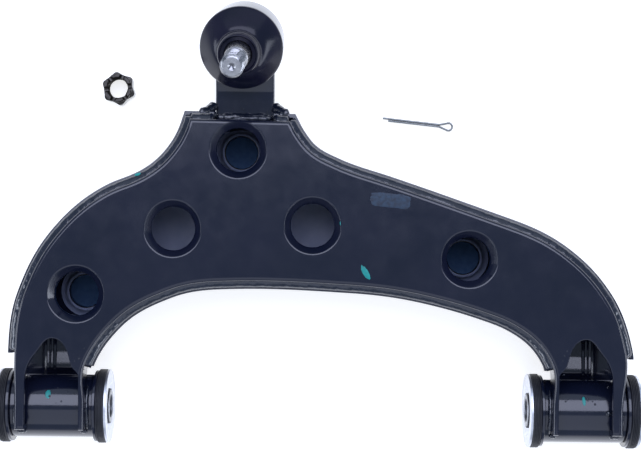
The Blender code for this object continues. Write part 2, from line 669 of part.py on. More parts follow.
def build():
    clear_scene()
    frame = empty("arm_frame", (0.0, -ARM_CENTRE_Y, 0.0))
    outline = rim_line()
    lower_shell(outline, frame)
    upper_shell(outline, frame)
    seam_welds(frame)
    neck_weld(frame)
    pivots(frame)
    forging(frame)
    ball_joint(frame)
    castle_nut(frame)
    split_pin(frame)


build()
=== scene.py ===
import math
import random

import bmesh
import bpy
from mathutils import Matrix, Vector, noise


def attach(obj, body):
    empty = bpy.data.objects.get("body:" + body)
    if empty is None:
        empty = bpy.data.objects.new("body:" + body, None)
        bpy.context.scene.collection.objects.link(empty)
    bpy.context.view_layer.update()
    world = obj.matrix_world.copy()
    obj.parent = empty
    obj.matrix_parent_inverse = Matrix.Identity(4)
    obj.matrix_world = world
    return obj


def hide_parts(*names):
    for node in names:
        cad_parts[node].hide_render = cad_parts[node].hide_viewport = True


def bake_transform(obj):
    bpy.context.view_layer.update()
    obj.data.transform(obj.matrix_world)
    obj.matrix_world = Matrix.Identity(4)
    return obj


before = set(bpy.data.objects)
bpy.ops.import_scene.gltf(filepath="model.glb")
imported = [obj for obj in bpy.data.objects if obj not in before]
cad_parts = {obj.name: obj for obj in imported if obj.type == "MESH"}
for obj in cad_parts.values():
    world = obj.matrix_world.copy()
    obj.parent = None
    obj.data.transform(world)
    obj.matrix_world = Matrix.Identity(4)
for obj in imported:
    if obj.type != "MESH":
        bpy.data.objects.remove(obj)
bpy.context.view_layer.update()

MM = 0.001
CENTRE_Y = 113.3            # the frame's origin is this far ahead of the pivot axis
GAP = 0.3

# --- box arm ---
SHEET = 3.0
RIM_Z = 44.0
TOP_Z = 50.0
DRAFT = math.tan(math.radians(6.0))
LOWER_BEND = 7.0
UPPER_BEND = 2.6
INNER_BEND = 0.3
SKIRT_Z = 30.0
SKIRT_INSET = 4.9
EAR_END_Y = -17.0
WALL_END_Y = 34.0
INNER_WALL_END_Y = 23.0
TONGUE_END_Y = 8.0
OUTLINE_STEP = 3.2          # spacing of the outline's points
CORNER_CLEAR = 8.6          # no outline point this close to a square corner

# Rim line, walked with the steel on the right: x, y and heading in degrees.
OUTER_LEFT = [(-188.4, 3.0, 90), (-188.6, 35.3, 88), (-183.0, 71.7, 70), (-163.4, 108.2, 51),
              (-131.0, 135.9, 29), (-109.9, 145.2, 29), (-91.4, 162.3, 56), (-83.1, 181.8, 73)]
OUTER_RIGHT = [(-15.9, 180.6, -65), (-6.6, 165.1, -52), (11.0, 153.8, -24), (42.0, 143.4, -18),
               (115.0, 118.6, -19), (151.5, 100.3, -37), (175.4, 75.7, -55), (190.0, 39.6, -78),
               (188.6, 3.0, -91)]
INNER_EDGE = [(136.4, 3.0, 92), (135.3, 29.9, 117), (122.0, 45.6, 145), (103.6, 54.9, 161),
              (67.1, 65.4, 167), (18.6, 72.1, 177), (-54.0, 73.8, 182), (-90.3, 67.9, 202),
              (-120.4, 49.8, 226), (-136.2, 26.8, 247), (-136.4, 3.0, 268)]
EAR_OUTER_X = 188.4
EAR_INNER_X = 136.6

# Tooling holes in the top plate; the ones marked True have a smaller one below in the lower shell.
HOLES = [(-50.1, 158.2, True), (-146.9, 70.3, True), (-89.0, 110.3, False),
         (-4.8, 113.0, False), (89.8, 93.7, True)]
HOLE_R = 13.2
DIMPLE_R = 17.5
COLLAR_DEPTH = 8.0
LOWER_HOLE_R = 10.0
HOLE_SIDES = 72

# The opening over a bush: distance from the bush's middle, y, and heading in degrees.
ARCH = [(14.4, 17.0, 92), (8.2, 34.0, 131), (-2.0, 43.5, 180), (-11.2, 35.0, 251), (-16.4, 23.6, 215)]
ARCH_SHIFT_RIGHT = 2.5
LEG_INNER = 17.8
EAR_REACH = 42.0            # cuts across an ear reach this far from the bush's middle
PAST_EAR_Y = EAR_END_Y - 8.0

# --- pivots ---
BUSH_CENTRE_X = 162.75
PIVOT_Z = 23.0
TUBE_R = 19.25
TUBE_WALL = 2.25
TUBE_HALF = 25.0
BUSH_HALF = 34.0
SHELL_R = TUBE_R - TUBE_WALL - GAP
SHELL_WALL = 1.8
SHELL_FLANGE_R = 22.0
SHELL_FLANGE = 2.0
RUBBER_R = 22.7
PLATE_R = 22.5
PLATE_HOLE_R = 11.8
PLATE_T = 1.6
PLATE_DISH_R = 15.5         # the end plate is dished round its hole
PLATE_DISH = 2.6
SLEEVE_R = 10.0
SLEEVE_BORE_R = 7.1
SLEEVE_HALF = 34.5
ROUND_SIDES = 96

# --- ball joint ---
BALL_CENTRE = (-48.0, 223.5, 39.0)
BALL_TILT = math.radians(18.5)
BALL_LEAN = math.radians(3.0)
NECK_X = -47.05
NECK_HALF = 18.0
NECK_TAIL_Y = 173.0
NECK_BEND_Y = 195.5
NECK_SLOPE = 0.370          # rise of the neck's bent part
NECK_FALL = 0.035           # slope of its top behind the bend
NECK_BELOW = 6.0
NECK_ABOVE = 5.0
HOUSING_R = 24.3
HOUSING_LOW = -15.4
HOUSING_HIGH = 9.0
HOUSING_WAIST = -9.0
CUP_BORE_R = 17.5
MOUTH_R = 14.6
COVER_R = 19.0
COVER_T = 2.2
BALL_R = 12.0
CUP_SPHERE_R = 12.5
BOOT_R = 25.2
BOOT_WALL = 1.5
COLLAR_R = 12.6
COLLAR_LOW = 29.0
COLLAR_HIGH = 34.0
TAPER_LOW = 24.0
TAPER_HIGH = 44.0
TAPER_LOW_R = 8.4
TAPER_HIGH_R = 7.15
THREAD_R = 6.95
THREAD_PITCH = 1.5
THREAD_DEPTH = 0.8
STUD_END = 66.0
COTTER_HOLE_W = 59.0
COTTER_HOLE_R = 1.8

# --- loose fasteners ---
NUT_AT = (-128.1, 197.9)
NUT_TURN = math.radians(-21.0)
NUT_FLATS = 19.0
NUT_HEX = 8.0
NUT_HEIGHT = 13.0
NUT_BORE_R = 6.3
NUT_CROWN_R = 8.9
NUT_SLOT = 3.6
NUT_SLOT_DEPTH = 3.2
NUT_CORNER_R = 10.5         # the corners are worn round
NUT_HOLLOW = 0.6            # and the flats a little hollow
PIN_EYE_AT = (80.0, 176.6)
PIN_TURN = math.radians(174.0)
PIN_LENGTH = 38.0
PIN_WIRE_R = 0.7
PIN_LEG_OFFSET = 0.62       # from the pin's middle line to each leg's
PIN_EYE_R = 2.4

# --- stage ---
FLOOR_HALF = 4.0            # metres, as are the other sizes here
FLOOR_DROP = 0.0004         # keeps the floor just clear of the arm's underside
GLOW_REACH = 0.27          # the floor glows evenly white this far out
GLOW_FADE_REACH = 0.62           # and fades to grey from here on, a painted pool of light
AIM = (0.0, -CENTRE_Y * MM, 0.04)
# Name, tilts about the two floor axes in degrees, distance, width, length, radiance and colour.
SOFTBOXES = [("overhead", 0.0, 27.0, 4.0, 5.0, 2.9, 3.2, (0.74, 0.78, 1.0)),
             ("front_fill", 0.0, -38.7, 4.0, 5.0, 4.5, 0.62, (0.82, 0.86, 1.0)),
             ("back_fill", 0.0, 62.0, 3.0, 5.0, 1.4, 0.36, (0.76, 0.84, 1.0)),
             ("left_side", -76.0, -56.0, 3.0, 3.6, 0.6, 4.5, (0.80, 0.86, 1.0)),
             ("right_side", 76.0, -56.0, 3.0, 3.6, 0.6, 4.5, (0.80, 0.86, 1.0))]
SKY = (0.62, 0.76, 1.0)
SKY_STRENGTH = 0.34
CAMERA_PLACE = (0.0, -0.0002, 0.952)
CAMERA_ROLL = 0.01117
CAMERA_LENS = 84.24
CAMERA_SENSOR = 36.0

SIDES = ((-1, "left"), (1, "right"))


# --- materials ---
def node_material(name):
    """A new material, its node tree, its Principled shader and a texture coordinate node."""
    look = bpy.data.materials.new(name)
    look.use_nodes = True
    tree = look.node_tree
    return look, tree, tree.nodes["Principled BSDF"], tree.nodes.new("ShaderNodeTexCoord")


def set_inputs(node, values):
    for name, value in values.items():
        node.inputs[name].default_value = value
    return node


def map_range(tree, source, from_low, from_high, to_low, to_high):
    node = set_inputs(tree.nodes.new("ShaderNodeMapRange"), {
        "From Min": from_low, "From Max": from_high, "To Min": to_low, "To Max": to_high})
    tree.links.new(source, node.inputs["Value"])
    return node.outputs["Result"]


def blend_colours(tree, source, target, *stops):
    """Colours the target socket from two (position, colour) stops along the source value."""
    ramp = tree.nodes.new("ShaderNodeValToRGB")
    for element, (position, colour) in zip(ramp.color_ramp.elements, stops):
        element.position = position
        element.color = (*colour, 1.0)
    tree.links.new(source, ramp.inputs["Fac"])
    tree.links.new(ramp.outputs["Color"], target)


def grained(name, colour, patch_colour, patch_mm, roughness, rough_mm, bump_mm, bump_depth,
            metallic=0.0, specular=0.5, coat=0.0, coat_roughness=0.08, wave_mm=0.0, wave_depth=0.0,
            lines=None):
    """A Principled material with patches of a second colour, uneven gloss and a fine uneven surface.

    roughness is a (low, high) pair; lines is (axis, pitch, depth) in millimetres for turned or
    moulded lines.
    """
    look, tree, shader, place = node_material(name)
    set_inputs(shader, {"Metallic": metallic, "Specular IOR Level": specular,
                        "Coat Weight": coat, "Coat Roughness": coat_roughness})

    def noise_at(size_mm, detail):
        made = set_inputs(tree.nodes.new("ShaderNodeTexNoise"),
                          {"Scale": 1.0 / (size_mm * MM), "Detail": detail})
        tree.links.new(place.outputs["Object"], made.inputs["Vector"])
        return made.outputs["Fac"]

    blend_colours(tree, noise_at(patch_mm, 4.0), shader.inputs["Base Color"],
                  (0.35, colour), (0.68, patch_colour))
    gloss = map_range(tree, noise_at(rough_mm, 3.0), 0.3, 0.7, *roughness)
    tree.links.new(gloss, shader.inputs["Roughness"])

    layers = [(noise_at(bump_mm, 2.0), bump_depth)]
    if wave_depth:
        layers.append((noise_at(wave_mm, 1.0), wave_depth))
    if lines:
        axis, pitch, depth = lines
        bands = tree.nodes.new("ShaderNodeTexWave")
        bands.bands_direction = axis
        set_inputs(bands, {"Scale": math.tau / 20.0 / (pitch * MM), "Distortion": 0.4})
        tree.links.new(place.outputs["Object"], bands.inputs["Vector"])
        layers.append((bands.outputs["Fac"], depth))
    normal = None
    for height, depth in layers:
        bump = set_inputs(tree.nodes.new("ShaderNodeBump"), {"Distance": depth * MM})
        tree.links.new(height, bump.inputs["Height"])
        if normal:
            tree.links.new(normal, bump.inputs["Normal"])
        normal = bump.outputs["Normal"]
    tree.links.new(normal, shader.inputs["Normal"])
    if coat:
        tree.links.new(normal, shader.inputs["Coat Normal"])
    return look


PAINT = grained("black_paint", (0.0048, 0.0075, 0.0200), (0.0085, 0.0105, 0.0250), 42.0, (0.12, 0.19), 9.0,
                1.6, 0.005, coat=0.5, coat_roughness=0.05, wave_mm=55.0, wave_depth=0.30)
FORGED = grained("forging_paint", (0.0054, 0.0090, 0.0240), (0.0085, 0.0115, 0.0290), 18.0, (0.10, 0.15),
                 6.0, 1.4, 0.004, coat=0.5, coat_roughness=0.04, wave_mm=24.0, wave_depth=0.06)
# painted light: a light blue-grey coat for the inside of the box, seen through the tooling holes
INNER_PAINTED_LIGHT = grained("inner_painted_light", (0.18, 0.21, 0.33), (0.25, 0.28, 0.41), 16.0, (0.36, 0.50), 5.0,
                     1.2, 0.010)
WELD = grained("painted_weld", (0.0050, 0.0085, 0.0190), (0.0090, 0.0130, 0.0270), 6.0, (0.16, 0.30), 2.0,
               0.9, 0.05, coat=0.9, coat_roughness=0.06, wave_mm=3.0, wave_depth=0.12)
RUBBER = grained("bush_rubber", (0.0105, 0.0115, 0.0165), (0.0170, 0.0180, 0.0240), 7.0, (0.42, 0.60), 2.5,
                 0.5, 0.010, lines=("X", 0.8, 0.05))
BOOT = grained("boot_rubber", (0.0060, 0.0075, 0.0180), (0.0100, 0.0095, 0.0230), 14.0, (0.17, 0.22), 5.0,
               0.7, 0.003, specular=0.25, coat=0.15, coat_roughness=0.12, wave_mm=9.0, wave_depth=0.03)
ZINC = grained("zinc_plate", (0.78, 0.80, 0.85), (0.63, 0.65, 0.70), 3.5, (0.30, 0.46), 1.6, 0.5, 0.008,
               metallic=1.0)
SLEEVE = grained("sleeve_steel", (0.38, 0.39, 0.41), (0.26, 0.27, 0.29), 3.0, (0.26, 0.40), 1.4, 0.5, 0.006,
                 metallic=1.0, lines=("X", 0.5, 0.01))
STUD = grained("stud_steel", (0.47, 0.47, 0.48), (0.33, 0.33, 0.35), 3.0, (0.20, 0.36), 1.2, 0.35, 0.005,
               metallic=1.0)
NUT = grained("nut_steel", (0.050, 0.046, 0.042), (0.085, 0.078, 0.072), 2.6, (0.26, 0.44), 1.2, 0.5, 0.020,
              metallic=0.9)
# painted glint: a brighter steel for the nut's flats
GLINT_STEEL = grained("nut_flats_painted_glint", (0.62, 0.62, 0.60), (0.40, 0.40, 0.39), 2.2, (0.24, 0.40), 1.2, 0.5, 0.020,
                metallic=1.0)
PIN = grained("pin_steel", (0.210, 0.225, 0.230), (0.350, 0.365, 0.370), 2.2, (0.34, 0.50), 1.0, 0.4, 0.008,
              metallic=0.9)
NYLON = grained("nylon", (0.72, 0.70, 0.62), (0.80, 0.78, 0.70), 5.0, (0.40, 0.52), 2.0, 0.8, 0.006)
TEAL = grained("teal_marker", (0.000, 0.300, 0.270), (0.000, 0.200, 0.190), 1.6, (0.30, 0.45), 1.0,
               0.5, 0.030)
BLUE = grained("blue_marker", (0.014, 0.040, 0.078), (0.008, 0.016, 0.034), 2.4, (0.42, 0.60), 1.2,
               0.6, 0.020)
# painted shadow: the navy colour of the discs seen through the arm's lower holes
SHADOW_FELT = grained("painted_shadow_felt", (0.040, 0.095, 0.210), (0.055, 0.120, 0.250), 3.0, (0.8, 0.9), 2.0, 0.5, 0.05)


# --- mesh helpers ---
def tidy_mesh(mesh):
    """Merges points that fell together, drops faces without area and turns the rest outwards."""
    work = bmesh.new()
    work.from_mesh(mesh)
    bmesh.ops.remove_doubles(work, verts=work.verts, dist=2e-6)
    bmesh.ops.dissolve_degenerate(work, dist=1e-6, edges=work.edges)
    bmesh.ops.recalc_face_normals(work, faces=work.faces)
    work.to_mesh(mesh)
    work.free()


def linked(name, data):
    """An object that holds the data, in the scene."""
    made = bpy.data.objects.new(name, data)
    bpy.context.scene.collection.objects.link(made)
    return made


def in_frame(point):
    """A design point in millimetres as a place in the frame, in metres."""
    return (Vector(point) - Vector((0.0, CENTRE_Y, 0.0))) * MM


def mesh_object(name, shape):
    """An object from a shape's millimetre points, placed in the frame."""
    verts, faces = shape
    mesh = bpy.data.meshes.new(name)
    mesh.from_pydata([in_frame(v) for v in verts], [], faces)
    tidy_mesh(mesh)
    return linked(name, mesh)


ADD = "UNION"
CUT = "DIFFERENCE"


def carve(body, steps):
    """Joins and cuts shapes in turn: steps is a list of (shape, ADD, CUT or "INTERSECT")."""
    tools = []
    for shape, operation in steps:
        tool = mesh_object("tool", shape)
        step = body.modifiers.new("step", "BOOLEAN")
        step.operation = operation
        step.solver = "EXACT"
        step.object = tool
        tools.append(tool)
    bpy.context.view_layer.update()
    seen = body.evaluated_get(bpy.context.evaluated_depsgraph_get())
    baked = bpy.data.meshes.new_from_object(seen)
    body.modifiers.clear()
    body.data = baked
    tidy_mesh(baked)
    for tool in tools:
        bpy.data.objects.remove(tool, do_unlink=True)


def dress(piece, look, body, nodes=(), sharp=32.0):
    """Gives a piece its material, its smooth shading and its body, and hides the CAD nodes it stands for."""
    piece.data.materials.clear()
    piece.data.materials.append(look)
    piece.data.shade_smooth()
    piece.data.set_sharp_from_angle(angle=math.radians(sharp))
    normals = piece.modifiers.new("normals", "WEIGHTED_NORMAL")
    normals.keep_sharp = True
    if body:
        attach(piece, body)
    if nodes:
        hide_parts(*nodes)


def add_piece(name, shape, look, body, nodes=(), sharp=32.0):
    dress(mesh_object(name, shape), look, body, nodes, sharp)


def ring_faces(count, loops, closed):
    """Quads between successive loops of count points; closed joins the last loop to the first."""
    faces = []
    pairs = loops if closed else loops - 1
    for row in range(pairs):
        low = row * count
        high = (row + 1) % loops * count
        for i in range(count):
            j = (i + 1) % count
            faces.append((low + i, low + j, high + j, high + i))
    return faces


def capped(count, loops):
    """Faces of a tube of loops with both ends closed."""
    faces = ring_faces(count, loops, closed=False)
    faces.append(tuple(range(count)))
    faces.append(tuple(range((loops - 1) * count, loops * count)))
    return faces


def turned_points(profile, sides, shift=None):
    verts = []
    for radius, height in profile:
        for i in range(sides):
            angle = math.tau * i / sides
            out = radius + (shift(angle, height) if shift else 0.0)
            verts.append((out * math.cos(angle), out * math.sin(angle), height))
    return verts


def turned_shape(profile, sides=ROUND_SIDES, shift=None):
    """A ring turned about Z from a closed profile of (radius, height)."""
    return turned_points(profile, sides, shift), ring_faces(sides, len(profile), closed=True)


def spindle_shape(profile, sides=ROUND_SIDES, shift=None):
    """A solid of revolution whose two end discs are flat."""
    return turned_points(profile, sides, shift), capped(sides, len(profile))


def prism_shape(outline, *levels):
    """Levels are heights, or (height, outset) pairs that flare the outline."""
    verts = []
    for level in levels:
        height, outset = level if isinstance(level, tuple) else (level, 0.0)
        for point in inset(outline, -outset) if outset else outline:
            verts.append((point[0], point[1], height))
    return verts, capped(len(outline), len(levels))


def moved(shape, matrix):
    verts, faces = shape
    return [matrix @ Vector(v) for v in verts], faces


def placed_at(x, y, shape):
    return moved(shape, Matrix.Translation((x, y, 0.0)))


def from_base(radius, height, *steps):
    """Profile points given as steps off a base radius and height."""
    return [(radius + a, height + b) for a, b in steps]


def joined(shapes):
    """Several shapes as one."""
    verts = []
    faces = []
    for more_verts, more_faces in shapes:
        base = len(verts)
        verts += list(more_verts)
        faces += [tuple(base + i for i in face) for face in more_faces]
    return verts, faces


def arc(centre, radius, start, end, steps):
    """Points on an arc, angles in degrees."""
    points = []
    for i in range(steps + 1):
        angle = math.radians(start + (end - start) * i / steps)
        points.append((centre[0] + radius * math.cos(angle), centre[1] + radius * math.sin(angle)))
    return points


def rounded(profile, radius, steps=3):
    """The closed outline with every corner eased by a short curve."""
    eased = []
    for i, corner in enumerate(profile):
        here = Vector(corner)
        back = Vector(profile[i - 1]) - here
        ahead = Vector(profile[(i + 1) % len(profile)]) - here
        reach = min(radius, 0.45 * back.length, 0.45 * ahead.length)
        start = here + back.normalized() * reach
        end = here + ahead.normalized() * reach
        for k in range(steps + 1):
            t = k / steps
            eased.append(tuple((1 - t) ** 2 * start + 2 * t * (1 - t) * here + t * t * end))
    return eased


def smooth_path(knots, step):
    """Points along a smooth curve through knots of (x, y, heading in degrees)."""
    points = []
    for (x0, y0, h0), (x1, y1, h1) in zip(knots, knots[1:]):
        start = Vector((x0, y0))
        end = Vector((x1, y1))
        chord = (end - start).length
        reach = 0.36 * chord
        pull = start + reach * Vector((math.cos(math.radians(h0)), math.sin(math.radians(h0))))
        push = end - reach * Vector((math.cos(math.radians(h1)), math.sin(math.radians(h1))))
        count = max(1, round(chord / step))
        for i in range(count):
            t = i / count
            s = 1.0 - t
            at = s ** 3 * start + 3 * s * s * t * pull + 3 * s * t * t * push + t ** 3 * end
            points.append((at.x, at.y))
    points.append(tuple(knots[-1][:2]))
    return points


def inset(points, distance):
    """The closed outline moved inwards, with mitred corners; it runs clockwise."""
    shifted = []
    count = len(points)
    for i in range(count):
        before = Vector(points[i - 1])
        here = Vector(points[i])
        after = Vector(points[(i + 1) % count])
        a = (here - before).normalized()
        b = (after - here).normalized()
        na = Vector((a.y, -a.x))
        nb = Vector((b.y, -b.x))
        shifted.append(here + distance * (na + nb) / (1.0 + na.dot(nb)))
    return shifted


def swept_shape(path, section_at, up_at):
    """A section carried along a path; section_at(i) gives (side, up) points, up_at(i) the up direction."""
    verts = []
    size = 0
    for i, here in enumerate(path):
        along = (path[min(i + 1, len(path) - 1)] - path[max(i - 1, 0)]).normalized()
        side = along.cross(up_at(i)).normalized()
        up = side.cross(along)
        section = section_at(i)
        size = len(section)
        for a, b in section:
            verts.append(here + a * side + b * up)
    return verts, capped(size, len(path))


def spaced(path, step):
    """The path's points, evenly spaced about step apart."""
    points = [Vector(p) for p in path]
    lengths = [0.0]
    for a, b in zip(points, points[1:]):
        lengths.append(lengths[-1] + (b - a).length)
    count = max(2, round(lengths[-1] / step))
    even = []
    k = 0
    for i in range(count + 1):
        want = lengths[-1] * i / count
        while k < len(points) - 2 and lengths[k + 1] < want:
            k += 1
        share = (want - lengths[k]) / max(lengths[k + 1] - lengths[k], 1e-9)
        even.append(points[k].lerp(points[k + 1], share))
    return even


# --- box arm ---
def away_from(points, corner, keep):
    """The points that aren't close to a corner, and the corner itself."""
    kept = []
    for point in points:
        reach = (Vector(point) - Vector(corner)).length
        if reach > keep or reach < 0.01:
            kept.append(point)
    return kept


def rim_line(step=OUTLINE_STEP):
    left = away_from(smooth_path(OUTER_LEFT, step), OUTER_LEFT[-1][:2], CORNER_CLEAR)
    right = away_from(smooth_path(OUTER_RIGHT, step), OUTER_RIGHT[0][:2], CORNER_CLEAR)
    inner = smooth_path(INNER_EDGE, step)
    line = [(-EAR_OUTER_X, EAR_END_Y)] + left + right
    line += [(EAR_OUTER_X, EAR_END_Y), (EAR_INNER_X, EAR_END_Y)]
    return line + inner + [(-EAR_INNER_X, EAR_END_Y)]


def shell_shape(outline, profile):
    """A pressed tray: loops at (inset, height) along the profile, capped at both ends."""
    verts = []
    for distance, height in profile:
        verts += [(p.x, p.y, height) for p in inset(outline, distance)]
    return verts, capped(len(outline), len(profile))


def lower_profile():
    run = (RIM_Z - LOWER_BEND) * DRAFT
    centre = (run + LOWER_BEND, LOWER_BEND)
    outside = arc(centre, LOWER_BEND, 270, 180, 7)
    inside = arc(centre, LOWER_BEND - SHEET, 180, 270, 5)
    lip = from_base(0.0, RIM_Z, (0.05, -0.9), (0.25, -0.3), (0.8, 0.0), (SHEET - 0.5, 0.0), (SHEET, -0.5))
    return outside + lip + inside


def upper_profile():
    centre = (SKIRT_INSET + UPPER_BEND, TOP_Z - UPPER_BEND)
    outside = arc(centre, UPPER_BEND, 90, 180, 8)
    under = (SKIRT_INSET + SHEET + INNER_BEND, TOP_Z - SHEET - INNER_BEND)
    inside = arc(under, INNER_BEND, 180, 90, 3)
    return outside + [(SKIRT_INSET, SKIRT_Z), (SKIRT_INSET + SHEET, SKIRT_Z)] + inside


def dimple_collar():
    """The sheet drawn down around a tooling hole, as a solid plug."""
    top = TOP_Z
    outside = from_base(HOLE_R, top, (2.9, -COLLAR_DEPTH), (2.9, -6.0), (3.5, -5.0))
    outside += from_base(DIMPLE_R, top, (0.2, -3.7), (1.2, -3.2), (1.2, -1.5))
    return spindle_shape(outside, HOLE_SIDES)


def dimple_cut():
    """The hole, and the shoulder above it with its two eased edges."""
    top = TOP_Z
    low = top - COLLAR_DEPTH
    inner = arc((HOLE_R + 1.1, top - 4.7), 1.1, 180, 128, 5)
    outer = arc((DIMPLE_R + 0.4, top - 1.7), 1.7, 128, 90, 5)
    path = from_base(HOLE_R, low, (0.5, -1.0), (0.5, 0.0), (0.0, 0.6)) + inner + outer
    path.append((DIMPLE_R + 1.6, top + 2.0))
    return spindle_shape(path, HOLE_SIDES)


def lower_collar():
    radius = LOWER_HOLE_R
    outside = [(radius + 5.0, 1.4)]
    outside += from_base(radius, SHEET, (5.0, 0.2), (3.4, 1.4), (2.4, 3.2), (2.2, 4.6), (1.8, 5.0))
    return spindle_shape(outside, HOLE_SIDES)


def lower_cut():
    radius = LOWER_HOLE_R
    path = from_base(radius, 0.0, (5.4, -3.0), (4.6, 0.0)) + arc((radius + 4.0, 4.0), 4.0, 256, 180, 6)
    path += from_base(radius, SHEET, (0.0, 4.5), (0.5, 5.0)) + [(radius + 0.5, 13.0)]
    return spindle_shape(path, HOLE_SIDES)


def along_pivot(side, shape):
    """A shape turned about Z, laid along the pivot axis at one bush."""
    turn = Matrix.Translation((side * BUSH_CENTRE_X, 0.0, PIVOT_Z)) @ Matrix.Rotation(math.pi / 2, 4, "Y")
    return moved(shape, turn)


def saddle_cut(side):
    radius = TUBE_R + 0.15
    return along_pivot(side, spindle_shape([(radius, -36.0), (radius, 36.0)]))


def arch_outline(side):
    """The opening over a bush, walked clockwise; side is -1 at the left ear and 1 at the right."""
    lift = ARCH_SHIFT_RIGHT if side > 0 else 0.0
    curve = smooth_path([(q, y + lift, h) for q, y, h in ARCH], 1.8)
    path = [(14.6, PAST_EAR_Y)] + curve
    path += [(-LEG_INNER, 21.5 + lift), (-LEG_INNER - 0.4, PAST_EAR_Y)]
    placed = [(side * (BUSH_CENTRE_X + q), y) for q, y in path]
    return placed if side < 0 else placed[::-1]


def ear_wall_cut(side):
    x = BUSH_CENTRE_X
    near = x - EAR_REACH
    far = x + EAR_REACH
    path = [(far, PAST_EAR_Y), (far, WALL_END_Y + 1.0), (x, WALL_END_Y - 2.0),
            (near, INNER_WALL_END_Y), (near, PAST_EAR_Y)]
    return prism_shape([(side * a, b) for a, b in path], SHEET + 0.45, TOP_Z + 10)


def ear_floor_cut(side):
    x = BUSH_CENTRE_X
    near = x - EAR_REACH
    far = x + EAR_REACH
    path = [(far, PAST_EAR_Y), (far, WALL_END_Y), (x + 15.5, WALL_END_Y), (x + 15.5, TONGUE_END_Y),
            (x - 15.0, TONGUE_END_Y), (x - 15.0, INNER_WALL_END_Y), (near, INNER_WALL_END_Y),
            (near, PAST_EAR_Y)]
    return prism_shape([(side * a, b) for a, b in path], -5.0, TOP_Z + 10)


def neck_cut(low, high):
    half = NECK_HALF + 0.2
    path = [(NECK_X - half, NECK_TAIL_Y - 5.0), (NECK_X + half, NECK_TAIL_Y - 5.0), (NECK_X + half, 200.0),
            (NECK_X - half, 200.0)]
    return prism_shape(path, low, high)


def neck_mid_z(y):
    return BALL_CENTRE[2] - (BALL_CENTRE[1] - max(y, NECK_BEND_Y)) * NECK_SLOPE


def shells():
    outline = rim_line()
    lower = mesh_object("shell_lower", shell_shape(outline, lower_profile()))
    steps = []
    for x, y, below in HOLES:
        if below:
            steps += [(placed_at(x, y, lower_collar()), ADD), (placed_at(x, y, lower_cut()), CUT)]
    for side in (-1, 1):
        steps += [(ear_wall_cut(side), CUT), (ear_floor_cut(side), CUT)]
    steps.append((neck_cut(neck_mid_z(0.0) - NECK_BELOW - 0.2, TOP_Z + 5.0), CUT))
    carve(lower, steps)
    dress(lower, PAINT, "arm", ["lower_shell"])

    upper = mesh_object("shell_upper", shell_shape(outline, upper_profile()))
    steps = []
    for x, y, _ in HOLES:
        steps += [(placed_at(x, y, dimple_collar()), ADD), (placed_at(x, y, dimple_cut()), CUT)]
    eased = ((TOP_Z - 0.2, 0.2), (TOP_Z + 0.1, 0.9))
    for side in (-1, 1):
        arch = prism_shape(arch_outline(side), SKIRT_Z - 10.0, TOP_Z - 0.7, *eased)
        steps += [(arch, CUT), (saddle_cut(side), CUT)]
    steps.append((neck_cut(SKIRT_Z - 10.0, neck_mid_z(0.0) + NECK_ABOVE + 0.2), CUT))
    carve(upper, steps)
    dress(upper, PAINT, "arm", ["upper_shell"])


def inner_painted_light():
    """A thin, dull, light blue-grey coat inside the box where it shows through the tooling holes: painted
    light that stands in for the light seen there.
    """
    for index, (x, y, below) in enumerate(HOLES):
        if below:
            ring = from_base(LOWER_HOLE_R, SHEET, (6.5, -0.5), (6.5, 0.08), (5.0, 0.3), (3.45, 1.55),
                             (2.5, 3.3), (2.3, 4.7), (1.8, 5.1), (0.8, 5.1), (0.8, 4.0), (2.0, 1.0),
                             (4.0, -0.5))
            shape = turned_shape(ring, HOLE_SIDES)
        else:
            shape = spindle_shape(from_base(DIMPLE_R, SHEET, (6.0, -0.5), (6.0, 0.1)), HOLE_SIDES)
        add_piece(f"inner_painted_light_{index}", placed_at(x, y, shape), INNER_PAINTED_LIGHT, "arm",
                  sharp=60.0)


def clamped(value):
    return max(0.0, min(1.0, value))


# The ribbed floor under an ear. Across it: distance from the bush's middle, and height.
RIB_SECTION = [(-13.5, 0.6), (3.2, 1.8), (4.6, 1.1), (5.5, 1.05), (6.5, 1.32), (7.0, 1.0), (7.8, 1.0),
               (9.3, 1.35), (9.9, 1.0), (12.0, 0.9), (23.0, 0.0)]
RIB_START_Y = 48.0
RIB_END_Y = 15.0
RIB_FADE = 6.0              # length over which the ribs rise and end
RAMP_START_Y = 32.5         # a ramp rises from here towards the tube
RAMP_LENGTH = 9.0
RAMP_SLOPE = 0.11
RAMP_EDGE = 10.5            # how far out across the ear the ramp reaches
FLOOR_FROM = (-13.5, 12.0)
FLOOR_SIZE = (36.3, 45.2)
FLOOR_UNDERSIDE = 2.0


def tongue_height(q, y):
    """Height of the lower shell's floor in front of a pivot tube: ribs, and a ramp up to the tube."""
    end = clamped((y - RIB_END_Y) / RIB_FADE)
    ramp = RAMP_SLOPE * max(0.0, min(RAMP_START_Y - y, RAMP_LENGTH)) * clamped((RAMP_EDGE - q) / 1.5)
    height = SHEET + 0.1 + ramp * end
    for (q0, h0), (q1, h1) in zip(RIB_SECTION, RIB_SECTION[1:]):
        if q0 <= q <= q1:
            section = h0 + (h1 - h0) * (q - q0) / (q1 - q0)
            return height + section * clamped((RIB_START_Y - y) / RIB_FADE) * end
    return height


